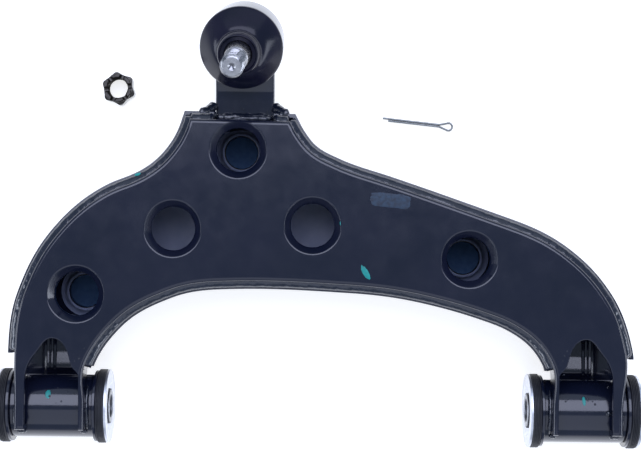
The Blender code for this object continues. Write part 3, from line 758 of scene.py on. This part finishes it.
def tongues():
    """The ribbed floor seen through each arch."""
    columns = 72
    rows = 48
    for side, word in SIDES:
        verts = []
        for low in (True, False):
            for r in range(rows + 1):
                y = FLOOR_FROM[1] + FLOOR_SIZE[1] * r / rows
                for c in range(columns + 1):
                    q = FLOOR_FROM[0] + FLOOR_SIZE[0] * c / columns
                    height = FLOOR_UNDERSIDE if low else tongue_height(q, y)
                    verts.append((side * (BUSH_CENTRE_X + q), y, height))
        width = columns + 1
        layer = width * (rows + 1)
        faces = []
        for base in (0, layer):
            for r in range(rows):
                for c in range(columns):
                    a = base + r * width + c
                    faces.append((a, a + 1, a + width + 1, a + width))
        border = list(range(columns)) + [r * width + columns for r in range(rows)]
        border += [rows * width + c for c in range(columns, 0, -1)]
        border += [r * width for r in range(rows, 0, -1)]
        for a, b in zip(border, border[1:] + border[:1]):
            faces.append((a, b, b + layer, a + layer))
        add_piece(f"floor_ribs_{word}", (verts, faces), PAINT, "arm", sharp=60.0)


# --- welds ---
def rough(at, size, seed):
    """Smooth noise from -1 to 1 at a point, varying over about size millimetres."""
    return noise.noise(Vector(at) / size + Vector((seed * 7.3, seed * 3.1, seed * 5.7)))


SEAM_SECTION = [(1.2, 43.8, 0.0), (1.1, 44.4, 0.2), (1.6, 45.5, 0.8), (2.5, 46.5, 1.0), (3.6, 47.2, 1.0),
                (4.6, 47.8, 0.7), (5.4, 48.0, 0.1), (5.4, 43.8, 0.0)]
SEAM_MIDDLE = (4.2, 44.6)
SEAM_ROUGHNESS = 0.55
RIPPLE = 4.4                # spacing of the ripples in a bead


def add_bead(name, shape, nodes=()):
    add_piece(name, shape, WELD, "arm", nodes, sharp=70.0)


def upwards(i):
    return Vector((0.0, 0.0, 1.0))


def bead_swell(at, along, seed, strength=1.0):
    """How far a bead's surface stands out at a point: ripples, and slower lumps."""
    ripple = abs(math.sin(math.pi * (along / RIPPLE + 0.35 * rough(at, 9.0, seed))))
    lumps = 0.55 * rough(at, 5.0, seed + 1) + 0.35 * rough(at, 2.0, seed + 2)
    return strength * (0.24 * (ripple - 0.6) + lumps)


def seam_bead(name, path, node, seed):
    """A rippled bead along a stretch of rim line, lying on the rim and against the skirt."""
    spacing = 0.8
    even = spaced([(x, y, 0.0) for x, y in path], spacing)
    total = len(even) - 1

    def section_at(i):
        taper = min(1.0, 0.35 + 0.4 * min(i, total - i))
        points = []
        for distance, height, free in SEAM_SECTION:
            at = even[i] + Vector((distance, 0.0, height))
            swell = free * bead_swell(at, spacing * i, seed, SEAM_ROUGHNESS)
            out = Vector((distance - SEAM_MIDDLE[0], height - SEAM_MIDDLE[1]))
            size = (1.0 + swell / max(out.length, 1.0)) * taper if free else 1.0
            level = min(SEAM_MIDDLE[1] + out.y * size, TOP_Z - 0.9)
            points.append((SEAM_MIDDLE[0] + out.x * size, level))
        return points

    add_bead(name, swept_shape(even, section_at, upwards), [node])


def tube_bead(path, radius, seed, up_at, stretch=1.0):
    """A lumpy bead of round section along a path in space."""
    spacing = 0.7
    even = spaced(path, spacing)
    total = len(even) - 1
    sides = 12

    def section_at(i):
        share = min(i, total - i) / max(1.0, 0.18 * total)
        taper = math.sqrt(min(1.0, 0.06 + share))
        points = []
        for k in range(sides):
            angle = math.tau * k / sides
            out = Vector((math.cos(angle) * stretch, math.sin(angle)))
            at = even[i] + Vector((out.x, out.y, 0.0)) * radius
            swell = 1.0 + 0.42 * bead_swell(at, spacing * i, seed)
            points.append((out.x * radius * swell * taper, out.y * radius * swell * taper))
        return points

    return swept_shape(even, section_at, up_at)


def seam_welds():
    step = 2.0
    left = [p for p in smooth_path(OUTER_LEFT, step) if p[1] > WALL_END_Y + 0.5][:-1]
    right = [p for p in smooth_path(OUTER_RIGHT, step) if p[1] > WALL_END_Y + 0.5][1:]
    inner = [p for p in smooth_path(INNER_EDGE, step) if p[1] > INNER_WALL_END_Y + 1.5]
    seam_bead("bead_outer_left", left, "seam_weld_outer_left", 1)
    seam_bead("bead_outer_right", right, "seam_weld_outer_right", 2)
    seam_bead("bead_inner", inner, "seam_weld_inner", 3)
    corner_left = Vector(OUTER_LEFT[-1][:2])
    corner_right = Vector(OUTER_RIGHT[0][:2])
    along = (corner_right - corner_left).normalized()
    neck_left = corner_left + along * (NECK_X - NECK_HALF - corner_left.x)
    neck_right = corner_left + along * (NECK_X + NECK_HALF - corner_left.x)
    clear = 3.4 * along
    seam_bead("bead_front_left", [corner_left + clear, neck_left], "front_weld_left", 4)
    seam_bead("bead_front_right", [neck_right, corner_right - clear], "front_weld_right", 5)


def neck_welds():
    """The rough bead across the neck, and the fillets down both of its sides."""
    z = neck_mid_z(0.0) + NECK_ABOVE
    front = 182.0 - SKIRT_INSET
    across = []
    for i in range(25):
        x = NECK_X - NECK_HALF - 0.5 + (2 * NECK_HALF + 1.0) * i / 24
        wander = rough((x, 0.0, 0.0), 6.0, 11)
        across.append((x, front + 1.2 + 0.9 * wander, z + 2.2 + 0.8 * rough((x, 5.0, 0.0), 5.0, 12)))
    shapes = [tube_bead(across, 2.9, 13, upwards)]
    crown = []
    for i in range(21):
        x = NECK_X - 6.0 + 22.0 * i / 20
        crown.append((x, front + 0.2 + 0.8 * rough((x, 0.0, 0.0), 5.0, 14),
                      TOP_Z - 4.0 + 0.6 * rough((x, 9.0, 0.0), 4.0, 15)))
    shapes.append(tube_bead(crown, 1.5, 16, upwards))
    for end, seed in ((-1, 17), (1, 21)):
        x = NECK_X + end * (NECK_HALF + 0.6)
        fillet = [(x, front + 10.0, z - 1.0), (x + 1.4 * end, front + 7.0, z + 3.0),
                  (x + 4.2 * end, front + 4.6, RIM_Z - 3.0), (x + 8.6 * end, front + 3.0, RIM_Z - 0.4)]
        shapes.append(tube_bead(fillet, 2.3, seed, upwards, 1.3))
        root = [(x - 1.0 * end, front + 1.0, z + 3.2), (x + 1.6 * end, front + 2.6, z + 5.6),
                (x + 5.0 * end, front + 1.6, RIM_Z + 0.4)]
        shapes.append(tube_bead(root, 2.4, seed + 2, upwards, 1.2))
    add_bead("bead_neck", joined(shapes), ["neck_weld"])


def on_tube(side, q, degrees, lift=0.0):
    """A point on a pivot tube: q along the axis from the bush's middle, degrees round from the top."""
    angle = math.radians(degrees)
    radius = TUBE_R + lift
    return (side * (BUSH_CENTRE_X + q), radius * math.sin(angle), PIVOT_Z + radius * math.cos(angle))


def ear_welds():
    """Beads that hold the legs to the pivot tubes: a stop at each leg's end and a fillet along its side."""
    for side, word in SIDES:
        def outward(i):
            return Vector((float(side), 0.0, 0.0))

        for name, low, high, seed in (("outer", 15.0, 20.6, 31), ("inner", -21.6, -18.0, 33)):
            stop = [on_tube(side, low + (high - low) * k / 6, -42.0 - 3.0 * (k % 2), 0.6) for k in range(7)]
            shapes = [tube_bead(stop, 1.5, seed + side, upwards)]
            edge = 21.3 if name == "outer" else -22.0
            start, end = (8, -36) if name == "outer" else (44, -38)
            fillet = [on_tube(side, edge, start + (end - start) * k / 24, 0.7) for k in range(25)]
            shapes.append(tube_bead(fillet, 1.35, seed + 5 + side, outward))
            add_bead(f"bead_ear_{word}_{name}", joined(shapes), [f"ear_weld_{word}_{name}"])


def droplet(at, radius):
    """A flattened bead of weld spatter."""
    verts, faces = spindle_shape([(0.2, 1.0), (0.7, 0.72), (0.98, 0.2), (1.0, -0.2)], 10)
    return [Vector(at) + radius * Vector((v[0], v[1], 0.7 * v[2])) for v in verts], faces


def spatter():
    """Small drops of weld metal near the ears and the neck."""
    chance = random.Random(7)
    shapes = []
    for side in (-1, 1):
        for _ in range(7):
            q = chance.uniform(-16.0, 13.0)
            shapes.append(droplet(on_tube(side, q, chance.uniform(8.0, 46.0)), chance.uniform(0.3, 0.75)))
        for _ in range(5):
            x = side * (BUSH_CENTRE_X + chance.uniform(-22.0, -12.0))
            shapes.append(droplet((x, chance.uniform(24.0, 40.0), TOP_Z), chance.uniform(0.25, 0.5)))
    shapes.append(droplet(on_tube(1, 13.3, 3.0), 1.9))
    shapes.append(droplet(on_tube(1, 14.2, 55.0), 0.9))
    shapes.append(droplet(on_tube(-1, 15.0, 70.0), 0.9))
    shapes.append(droplet((-144.2, 31.5, TOP_Z), 0.6))
    for _ in range(12):
        x = NECK_X + chance.uniform(-8.0, 17.0)
        y = chance.uniform(181.0, 188.0)
        shapes.append(droplet((x, y, neck_mid_z(y) + NECK_ABOVE), chance.uniform(0.25, 0.6)))
    add_bead("weld_spatter", joined(shapes))


# --- pivots ---
def pivots():
    for side, word in SIDES:
        pivot_tube(side, word)
        for end in (-1, 1):
            half_bush(side, word, end)
        inner_sleeve(side, word)


def plain_tube(side, outer, bore, half):
    """A tube along the pivot axis, with eased ends."""
    section = [(outer, -half), (outer, half), (bore, half), (bore, -half)]
    return along_pivot(side, turned_shape(rounded(section, 0.8)))


def pivot_tube(side, word):
    shape = plain_tube(side, TUBE_R, TUBE_R - TUBE_WALL, TUBE_HALF)
    add_piece(f"tube_{word}", shape, PAINT, "arm", [f"pivot_tube_{word}"])


def half_bush(side, word, end):
    """One flanged half of a bush: steel shell, ribbed rubber and plated end washer."""
    label = f"{word}_{'plus' if end > 0 else 'minus'}"
    flange = TUBE_HALF + 0.1
    inner = SHELL_R - SHELL_WALL
    lip = flange + SHELL_FLANGE
    shell = rounded([(SHELL_R, GAP), (SHELL_R, flange), (SHELL_FLANGE_R, flange), (SHELL_FLANGE_R, lip),
                     (inner, lip), (inner, GAP)], 0.6)
    face = lip + 0.05
    back = BUSH_HALF - PLATE_T - 0.1
    ribs = []
    count = 5
    for k in range(count):
        low = face + 0.3 + (back - face - 0.5) * k / count
        high = face + 0.3 + (back - face - 0.5) * (k + 0.5) / count
        ribs += [(RUBBER_R - 0.35, low), (RUBBER_R, low + 0.2), (RUBBER_R, high)]
    rubber = [(inner - 0.1, GAP), (inner - 0.1, face), (RUBBER_R - 0.8, face)] + ribs
    sunk = back - PLATE_DISH
    rubber += [(RUBBER_R - 0.5, back), (PLATE_DISH_R + 0.2, back), (PLATE_HOLE_R, sunk - 0.2),
               (SLEEVE_R + 1.3, sunk), (SLEEVE_R + 0.7, BUSH_HALF), (SLEEVE_R + 0.1, BUSH_HALF),
               (SLEEVE_R + 0.1, GAP)]
    plate = rounded([(PLATE_R, BUSH_HALF - PLATE_T), (PLATE_R, BUSH_HALF), (PLATE_DISH_R, BUSH_HALF),
                     (PLATE_HOLE_R, BUSH_HALF - PLATE_DISH), (PLATE_HOLE_R, sunk + 0.1),
                     (PLATE_DISH_R, BUSH_HALF - PLATE_T)], 0.35)
    for name, node, profile, look, slot in (("shell", "bush_shell", shell, PAINT, "painted_steel"),
                                            ("rubber", "bush_rubber", rubber, RUBBER, "bush_rubber"),
                                            ("washer", "bush_end_plate", plate, ZINC, "zinc_plate")):
        placed = [(radius, end * height) for radius, height in profile]
        add_piece(f"{name}_{label}", along_pivot(side, turned_shape(placed)), look, "arm",
                  [f"{node}_{label}"])


def inner_sleeve(side, word):
    shape = plain_tube(side, SLEEVE_R, SLEEVE_BORE_R, SLEEVE_HALF)
    add_piece(f"sleeve_{word}", shape, SLEEVE, f"{word}_sleeve", [f"inner_sleeve_{word}"])


# --- ball joint ---
def ball_place():
    """Takes a shape turned about Z to the ball joint's tilted axis."""
    z = Vector((-math.sin(BALL_LEAN), -math.sin(BALL_TILT) * math.cos(BALL_LEAN),
                math.cos(BALL_TILT) * math.cos(BALL_LEAN)))
    x = Vector((0.0, 1.0, 0.0)).cross(z).normalized()
    turn = Matrix((x, z.cross(x), z)).transposed().to_4x4()
    return Matrix.Translation(BALL_CENTRE) @ turn


def neck_shape():
    """The forged neck: a bar with eased edges, flat in the box and then square to the ball joint."""
    stations = [NECK_TAIL_Y, 180.0, 189.0, 193.5, NECK_BEND_Y, 197.5, BALL_CENTRE[1] - 12.0]
    verts = []
    count = 0
    for y in stations:
        rise = neck_mid_z(y)
        if y == NECK_BEND_Y:
            rise = 0.5 * (neck_mid_z(y - 2.0) + neck_mid_z(y + 2.0))
        top = NECK_ABOVE - NECK_FALL * max(0.0, NECK_BEND_Y - y)
        outline = rounded([(-NECK_HALF, -NECK_BELOW), (NECK_HALF, -NECK_BELOW), (NECK_HALF, top),
                           (-NECK_HALF, top)], 1.8, 4)
        count = len(outline)
        verts += [(NECK_X + a, y, rise + b) for a, b in outline]
    return verts, capped(count, len(stations))


def forging():
    body = mesh_object("forging", neck_shape())
    outside = from_base(HOUSING_R, HOUSING_LOW, (-3.4, 0.0), (-1.9, 0.6), (-0.8, 3.0))
    outside += [(HOUSING_R, HOUSING_WAIST)]
    outside += from_base(HOUSING_R, HOUSING_HIGH, (0.0, -1.0), (-0.3, -0.3), (-1.0, 0.0))
    step = HOUSING_LOW + COVER_T + 0.5
    bore = [(COVER_R + 0.1, HOUSING_LOW - 2.0), (COVER_R + 0.1, step), (CUP_BORE_R, step),
            (CUP_BORE_R, 5.0), (MOUTH_R, 7.0), (MOUTH_R + 1.5, HOUSING_HIGH + 2.0)]
    carve(body, [(moved(spindle_shape(outside), ball_place()), ADD),
                 (moved(spindle_shape(bore), ball_place()), CUT)])
    dress(body, FORGED, "arm", ["ball_joint_forging"])


def on_ball_axis(name, shape, look, body, node):
    add_piece(name, moved(shape, ball_place()), look, body, [node])


# The dust boot's outer line, from its foot round the bulge to the collar: radius, and height.
BOOT_LINE = [(23.4, 0.0), (23.9, 0.5), (23.7, 1.0), (23.1, 1.4), (23.3, 2.0), (24.3, 2.8), (24.95, 3.5),
             (BOOT_R, 4.3), (25.1, 5.0), (24.7, 5.7), (23.6, 7.0), (21.8, 9.1), (19.8, 11.4),
             (17.8, 13.5), (16.3, 14.9), (15.2, 15.8), (14.3, 16.4), (13.6, 16.8), (13.2, 17.2),
             (12.9, 18.2), (12.6, 19.6), (12.2, 21.0), (11.6, 22.0)]


def boot_profile():
    """The dust boot's wall, outside and inside."""
    base = HOUSING_HIGH + 0.1
    outside = [(radius, base + height) for radius, height in BOOT_LINE]
    inside = []
    for i, (radius, height) in enumerate(outside):
        before = Vector(outside[max(i - 1, 0)])
        after = Vector(outside[min(i + 1, len(outside) - 1)])
        along = (after - before).normalized()
        inside.append((radius - BOOT_WALL * along.y, height + BOOT_WALL * along.x))
    return outside + inside[::-1]


def ball_joint():
    low = HOUSING_LOW + 0.2
    cover = from_base(COVER_R, low, (-1.0, 0.0), (-0.3, 0.2), (0.0, 0.8), (0.0, COVER_T))
    on_ball_axis("cover", spindle_shape(cover), PAINT, "arm", "cover_plate")
    floor = low + COVER_T + GAP + 0.3
    sphere = arc((0.0, 0.0), CUP_SPHERE_R, 21.0, -68.0, 18)
    cup = [(CUP_BORE_R - 0.1, floor), (CUP_BORE_R - 0.1, sphere[0][1])] + sphere
    cup.append((sphere[-1][0] - 0.6, floor))
    on_ball_axis("seat", turned_shape(cup), NYLON, "ball_socket", "bearing_seat")

    base = HOUSING_HIGH + 0.1
    ring = arc((23.45, base + 1.55), 0.5, 0, 360, 12)[:-1]
    on_ball_axis("clamp_ring", turned_shape(ring), ZINC, "arm", "boot_clamp_ring")
    collar = from_base(COLLAR_R, COLLAR_LOW, (-1.5, -0.2), (-0.2, 0.6))
    collar += from_base(COLLAR_R, COLLAR_HIGH, (0.0, -1.6), (-0.8, 0.0), (-1.6, -0.3), (-2.0, -1.5))
    collar += from_base(0.0, COLLAR_HIGH, (8.3, -1.9), (8.15, -2.6)) + [(8.45, COLLAR_LOW)]
    shape = turned_shape(rounded(collar, 0.5))
    on_ball_axis("collar", shape, BOOT, "stud_collar", "boot_collar")

    boot = mesh_object("boot", moved(turned_shape(boot_profile()), ball_place()))
    dress(boot, BOOT, None, ["dust_boot"], sharp=60.0)
    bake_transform(boot)
    ball_stud()


def thread_shift(low, high, depth):
    """Radial offset of a screw thread between two heights, fading out at its ends."""
    def shift(angle, height):
        fade = min(1.0, max(0.0, (height - low) / 1.0), max(0.0, (high - height) / 1.0))
        turn = (height / THREAD_PITCH - angle / math.tau) % 1.0
        wave = abs(2.0 * turn - 1.0)
        return -depth * fade * min(1.0, 1.25 * wave)
    return shift


def levels(low, high, step):
    count = round((high - low) / step)
    return [low + (high - low) * i / count for i in range(count + 1)]


def ball_stud():
    neck_angle = math.degrees(math.acos(7.4 / BALL_R))
    ball = arc((0.0, 0.0), BALL_R, -68.0, neck_angle, 26)
    top = STUD_END
    shank = [(7.2, 11.2), (7.4, 19.0), (TAPER_LOW_R - 0.3, 22.2), (TAPER_LOW_R, 22.7),
             (TAPER_LOW_R, TAPER_LOW), (TAPER_HIGH_R, TAPER_HIGH)]
    shank += from_base(0.0, TAPER_HIGH, (6.9, 0.5), (6.2, 1.0), (6.2, 2.2), (THREAD_R - 0.2, 3.2))
    low = TAPER_HIGH + 3.4
    high = top - 1.3
    thread = [(THREAD_R, h) for h in levels(low, high, THREAD_PITCH / 6.0)]
    tip = from_base(THREAD_R, top, (-0.5, -0.8), (-1.3, -0.1), (-1.7, 0.0))
    tip += from_base(0.0, top, (2.3, 0.0), (1.9, -0.25), (0.7, -1.6), (0.35, -1.8))
    shape = spindle_shape(ball + shank + thread + tip, 72, thread_shift(low, high, THREAD_DEPTH))
    turn = Matrix.Translation((0.0, 0.0, COTTER_HOLE_W)) @ Matrix.Rotation(math.pi / 2, 4, "X")
    hole = spindle_shape(from_base(COTTER_HOLE_R, 0.0, (1.2, -8.0), (0.0, -6.2), (0.0, 6.2), (1.2, 8.0)), 32)
    piece = mesh_object("stud", moved(shape, ball_place()))
    carve(piece, [(moved(hole, ball_place() @ turn), CUT)])
    dress(piece, STUD, "stud", ["ball_stud"])


# --- loose fasteners ---
def castle_nut():
    place = Matrix.Translation((*NUT_AT, 0.0)) @ Matrix.Rotation(NUT_TURN, 4, "Z")
    corner = NUT_FLATS / math.sqrt(3.0)
    flat = NUT_FLATS / 2.0
    hexagon = []
    for k in range(72):
        turn = math.radians(5.0 * k)
        hollow = 0.5 - 0.5 * math.cos(6.0 * turn)
        away = (k % 12) * math.radians(5.0) - math.pi / 6.0
        reach = min(flat / math.cos(away) - NUT_HOLLOW * hollow, NUT_CORNER_R)
        hexagon.append((reach * math.cos(turn), reach * math.sin(turn)))
    piece = mesh_object("castle_nut_finished", moved(prism_shape(hexagon, 0.0, NUT_HEX), place))
    barrel = from_base(flat, 0.0, (-0.2, -0.5), (-0.2, 0.0)) + [(corner + 0.2, 1.0)]
    barrel += [(corner + 0.2, NUT_HEX - 0.9)] + from_base(flat, NUT_HEX, (-0.3, 0.0), (-0.3, 0.5))
    crown = [(NUT_CROWN_R, NUT_HEX - 1.0)] + from_base(NUT_CROWN_R, NUT_HEIGHT, (0.0, -0.5), (-0.5, 0.0))
    low = 0.9
    high = NUT_HEIGHT - 0.4
    thread = [(NUT_BORE_R + 0.35, h) for h in levels(low, high, THREAD_PITCH / 4.0)]
    bore = from_base(NUT_BORE_R, 0.0, (1.4, -2.0), (1.0, 0.0)) + thread
    bore += from_base(NUT_BORE_R, NUT_HEIGHT, (0.7, 0.0), (0.9, 2.0))
    steps = [(spindle_shape(barrel), "INTERSECT"), (spindle_shape(crown), ADD),
             (spindle_shape(bore, 60, thread_shift(low, high, 0.6)), CUT)]
    half = NUT_SLOT / 2.0
    for index in range(3):
        floor = arc((0.0, NUT_HEIGHT - NUT_SLOT_DEPTH + half), half, 180, 360, 8)
        bar = [(-15.0, a, b) for a, b in floor + [(half, NUT_HEIGHT + 3.0), (-half, NUT_HEIGHT + 3.0)]]
        size = len(bar)
        bar += [(15.0, a, b) for _, a, b in bar]
        slot_turn = Matrix.Rotation(math.radians(60.0 * index + 30.0), 4, "Z")
        steps.append((moved((bar, capped(size, 2)), slot_turn), CUT))
    carve(piece, [(moved(shape, place), operation) for shape, operation in steps])
    dress(piece, NUT, "nut", ["castle_nut"])
    # The hex flats take the brighter steel, a painted glint.
    piece.data.materials.append(GLINT_STEEL)
    middle = in_frame((*NUT_AT, 0.0))
    for face in piece.data.polygons:
        out = face.center - middle
        if abs(face.normal.z) < 0.3 and out.xy.length > 8.3 * MM and face.center.z < NUT_HEX * MM:
            face.material_index = 1


def split_pin():
    """Two legs side by side and the eye that joins them, lying flat."""
    place = Matrix.Translation((*PIN_EYE_AT, PIN_WIRE_R)) @ Matrix.Rotation(PIN_TURN - math.pi, 4, "Z")
    offset = PIN_LEG_OFFSET
    eye = arc((0.4, 0.0), PIN_EYE_R, 125.0, -125.0, 24)
    route = [(-PIN_LENGTH - 3.5, offset), (-PIN_LENGTH * 0.6, offset), (-9.0, offset), (-5.4, offset),
             (-3.6, offset + 0.6)]
    route += eye + [(x, -y) for x, y in reversed(route[1:])] + [(-PIN_LENGTH, -offset)]
    path = [place @ Vector((x, y, 0.0)) for x, y in route]
    section = [(0.86 * a, b) for a, b in arc((0.0, 0.0), PIN_WIRE_R, 0.0, 330.0, 11)]
    shape = swept_shape(spaced(path, 0.6), lambda i: section, upwards)
    add_piece("split_pin_finished", shape, PIN, "split_pin", ["cotter_pin"], sharp=50.0)


# --- paint marks ---
def patch_shape(centre, half, turn, height_at, seed, square=2.0):
    """A thin brushed mark with a wavering edge; square above 2 gives fuller corners."""
    sides = 48
    verts = []
    for level, share in ((-0.25, 1.0), (0.02, 1.0), (0.09, 0.9), (0.11, 0.6), (0.12, 0.3)):
        for k in range(sides):
            angle = math.tau * k / sides
            c = math.cos(angle)
            s = math.sin(angle)
            reach = (abs(c) ** square + abs(s) ** square) ** (-1.0 / square)
            reach *= 1.0 + 0.14 * noise.noise(Vector((3.0 * c, 3.0 * s, float(seed))))
            a = share * reach * c * half[0]
            b = share * reach * s * half[1]
            x = centre[0] + a * math.cos(turn) - b * math.sin(turn)
            y = centre[1] + a * math.sin(turn) + b * math.cos(turn)
            verts.append((x, y, height_at(x, y) + level))
    return verts, capped(sides, 5)


def tube_top(x, y):
    return PIVOT_Z + math.sqrt(TUBE_R * TUBE_R - y * y)


def at_height(z):
    return lambda x, y: z


def paint_marks():
    plate = at_height(TOP_Z)
    band = at_height(TOP_Z - 1.2)
    hole_edge = at_height(TOP_Z - 0.4)
    marks = [("mark_blue", (41.9, 128.6), (12.0, 4.2), -6.0, plate, 3, 5.0, BLUE),
             ("mark_teal_streak", (27.4, 85.1), (1.7, 4.8), 32.0, plate, 5, 2.0, TEAL),
             ("mark_teal_edge", (-110.5, 142.7), (2.0, 0.8), 20.0, band, 8, 2.0, TEAL),
             ("mark_teal_hole", (12.2, 114.6), (0.6, 1.5), 0.0, hole_edge, 9, 2.0, TEAL),
             ("mark_teal_tube_left", (-164.5, 8.7), (1.6, 2.4), 0.0, tube_top, 11, 2.4, TEAL),
             ("mark_teal_tube_right", (161.3, 8.1), (1.0, 2.6), 4.0, tube_top, 14, 2.0, TEAL)]
    for name, centre, half, degrees, height_at, seed, square, look in marks:
        shape = patch_shape(centre, half, math.radians(degrees), height_at, seed, square)
        add_piece(name, shape, look, "arm", sharp=70.0)


# --- stage ---
def softbox(name, tilt_x, tilt_y, distance, size_x, size_y, radiance, colour):
    """A soft area light towards which the aim point looks up at the given tilts."""
    along = Vector((math.tan(math.radians(tilt_x)), math.tan(math.radians(tilt_y)), 1.0)).normalized()
    light = bpy.data.lights.new(name, "AREA")
    light.shape = "RECTANGLE"
    light.size = size_x
    light.size_y = size_y
    light.energy = radiance * math.pi * size_x * size_y
    light.color = colour
    holder = linked(name, light)
    holder.location = Vector(AIM) + along * distance
    holder.rotation_mode = "QUATERNION"
    holder.rotation_quaternion = along.to_track_quat("Z", "Y")


def painted_shadow_pads():
    """Navy discs of painted shadow on the floor, hidden under the arm, where its lower tooling holes stand.
    """
    for index, (x, y, below) in enumerate(HOLES):
        if below:
            disc = spindle_shape(from_base(LOWER_HOLE_R, 0.0, (7.0, -0.3), (7.0, -0.05)), 48)
            pad = mesh_object(f"painted_shadow_pad_{index}", placed_at(x, y, disc))
            pad.data.materials.append(SHADOW_FELT)


def floor_look():
    """Glows evenly white around the object and fades to grey further out: a painted pool of light."""
    look, tree, shader, place = node_material("floor")
    set_inputs(shader, {"Roughness": 0.9, "Emission Color": (1.0, 1.0, 1.0, 1.0)})
    reach = tree.nodes.new("ShaderNodeVectorMath")
    reach.operation = "LENGTH"
    tree.links.new(place.outputs["Object"], reach.inputs[0])
    # Glow and colour fall off with distance: a painted pool of light.
    near = map_range(tree, reach.outputs["Value"], GLOW_REACH, GLOW_FADE_REACH, 0.75, 0.0)
    tree.links.new(near, shader.inputs["Emission Strength"])
    blend_colours(tree, near, shader.inputs["Base Color"],
                  (0.0, (0.26, 0.27, 0.29)), (0.75, (0.58, 0.59, 0.60)))
    return look


def stage():
    half = FLOOR_HALF
    low = -FLOOR_DROP
    mesh = bpy.data.meshes.new("floor")
    mesh.from_pydata([(-half, -half, low), (half, -half, low), (half, half, low), (-half, half, low)], [],
                     [(0, 1, 2, 3)])
    mesh.materials.append(floor_look())
    floor = linked("floor", mesh)
    painted_shadow_pads()

    world = bpy.data.worlds.new("studio")
    world.use_nodes = True
    set_inputs(world.node_tree.nodes["Background"], {"Color": (*SKY, 1.0), "Strength": SKY_STRENGTH})
    bpy.context.scene.world = world
    for box in SOFTBOXES:
        softbox(*box)
    bpy.context.scene.view_settings.view_transform = "Standard"


def camera():
    """Straight above the arm, turned a little about its own axis."""
    data = bpy.data.cameras.new("camera")
    data.lens = CAMERA_LENS
    data.sensor_width = CAMERA_SENSOR
    holder = linked("camera", data)
    holder.location = CAMERA_PLACE
    holder.rotation_euler = (0.0, 0.0, CAMERA_ROLL)
    bpy.context.scene.camera = holder


shells()
inner_painted_light()
tongues()
seam_welds()
neck_welds()
ear_welds()
spatter()
pivots()
forging()
ball_joint()
castle_nut()
split_pin()
paint_marks()
stage()
camera()
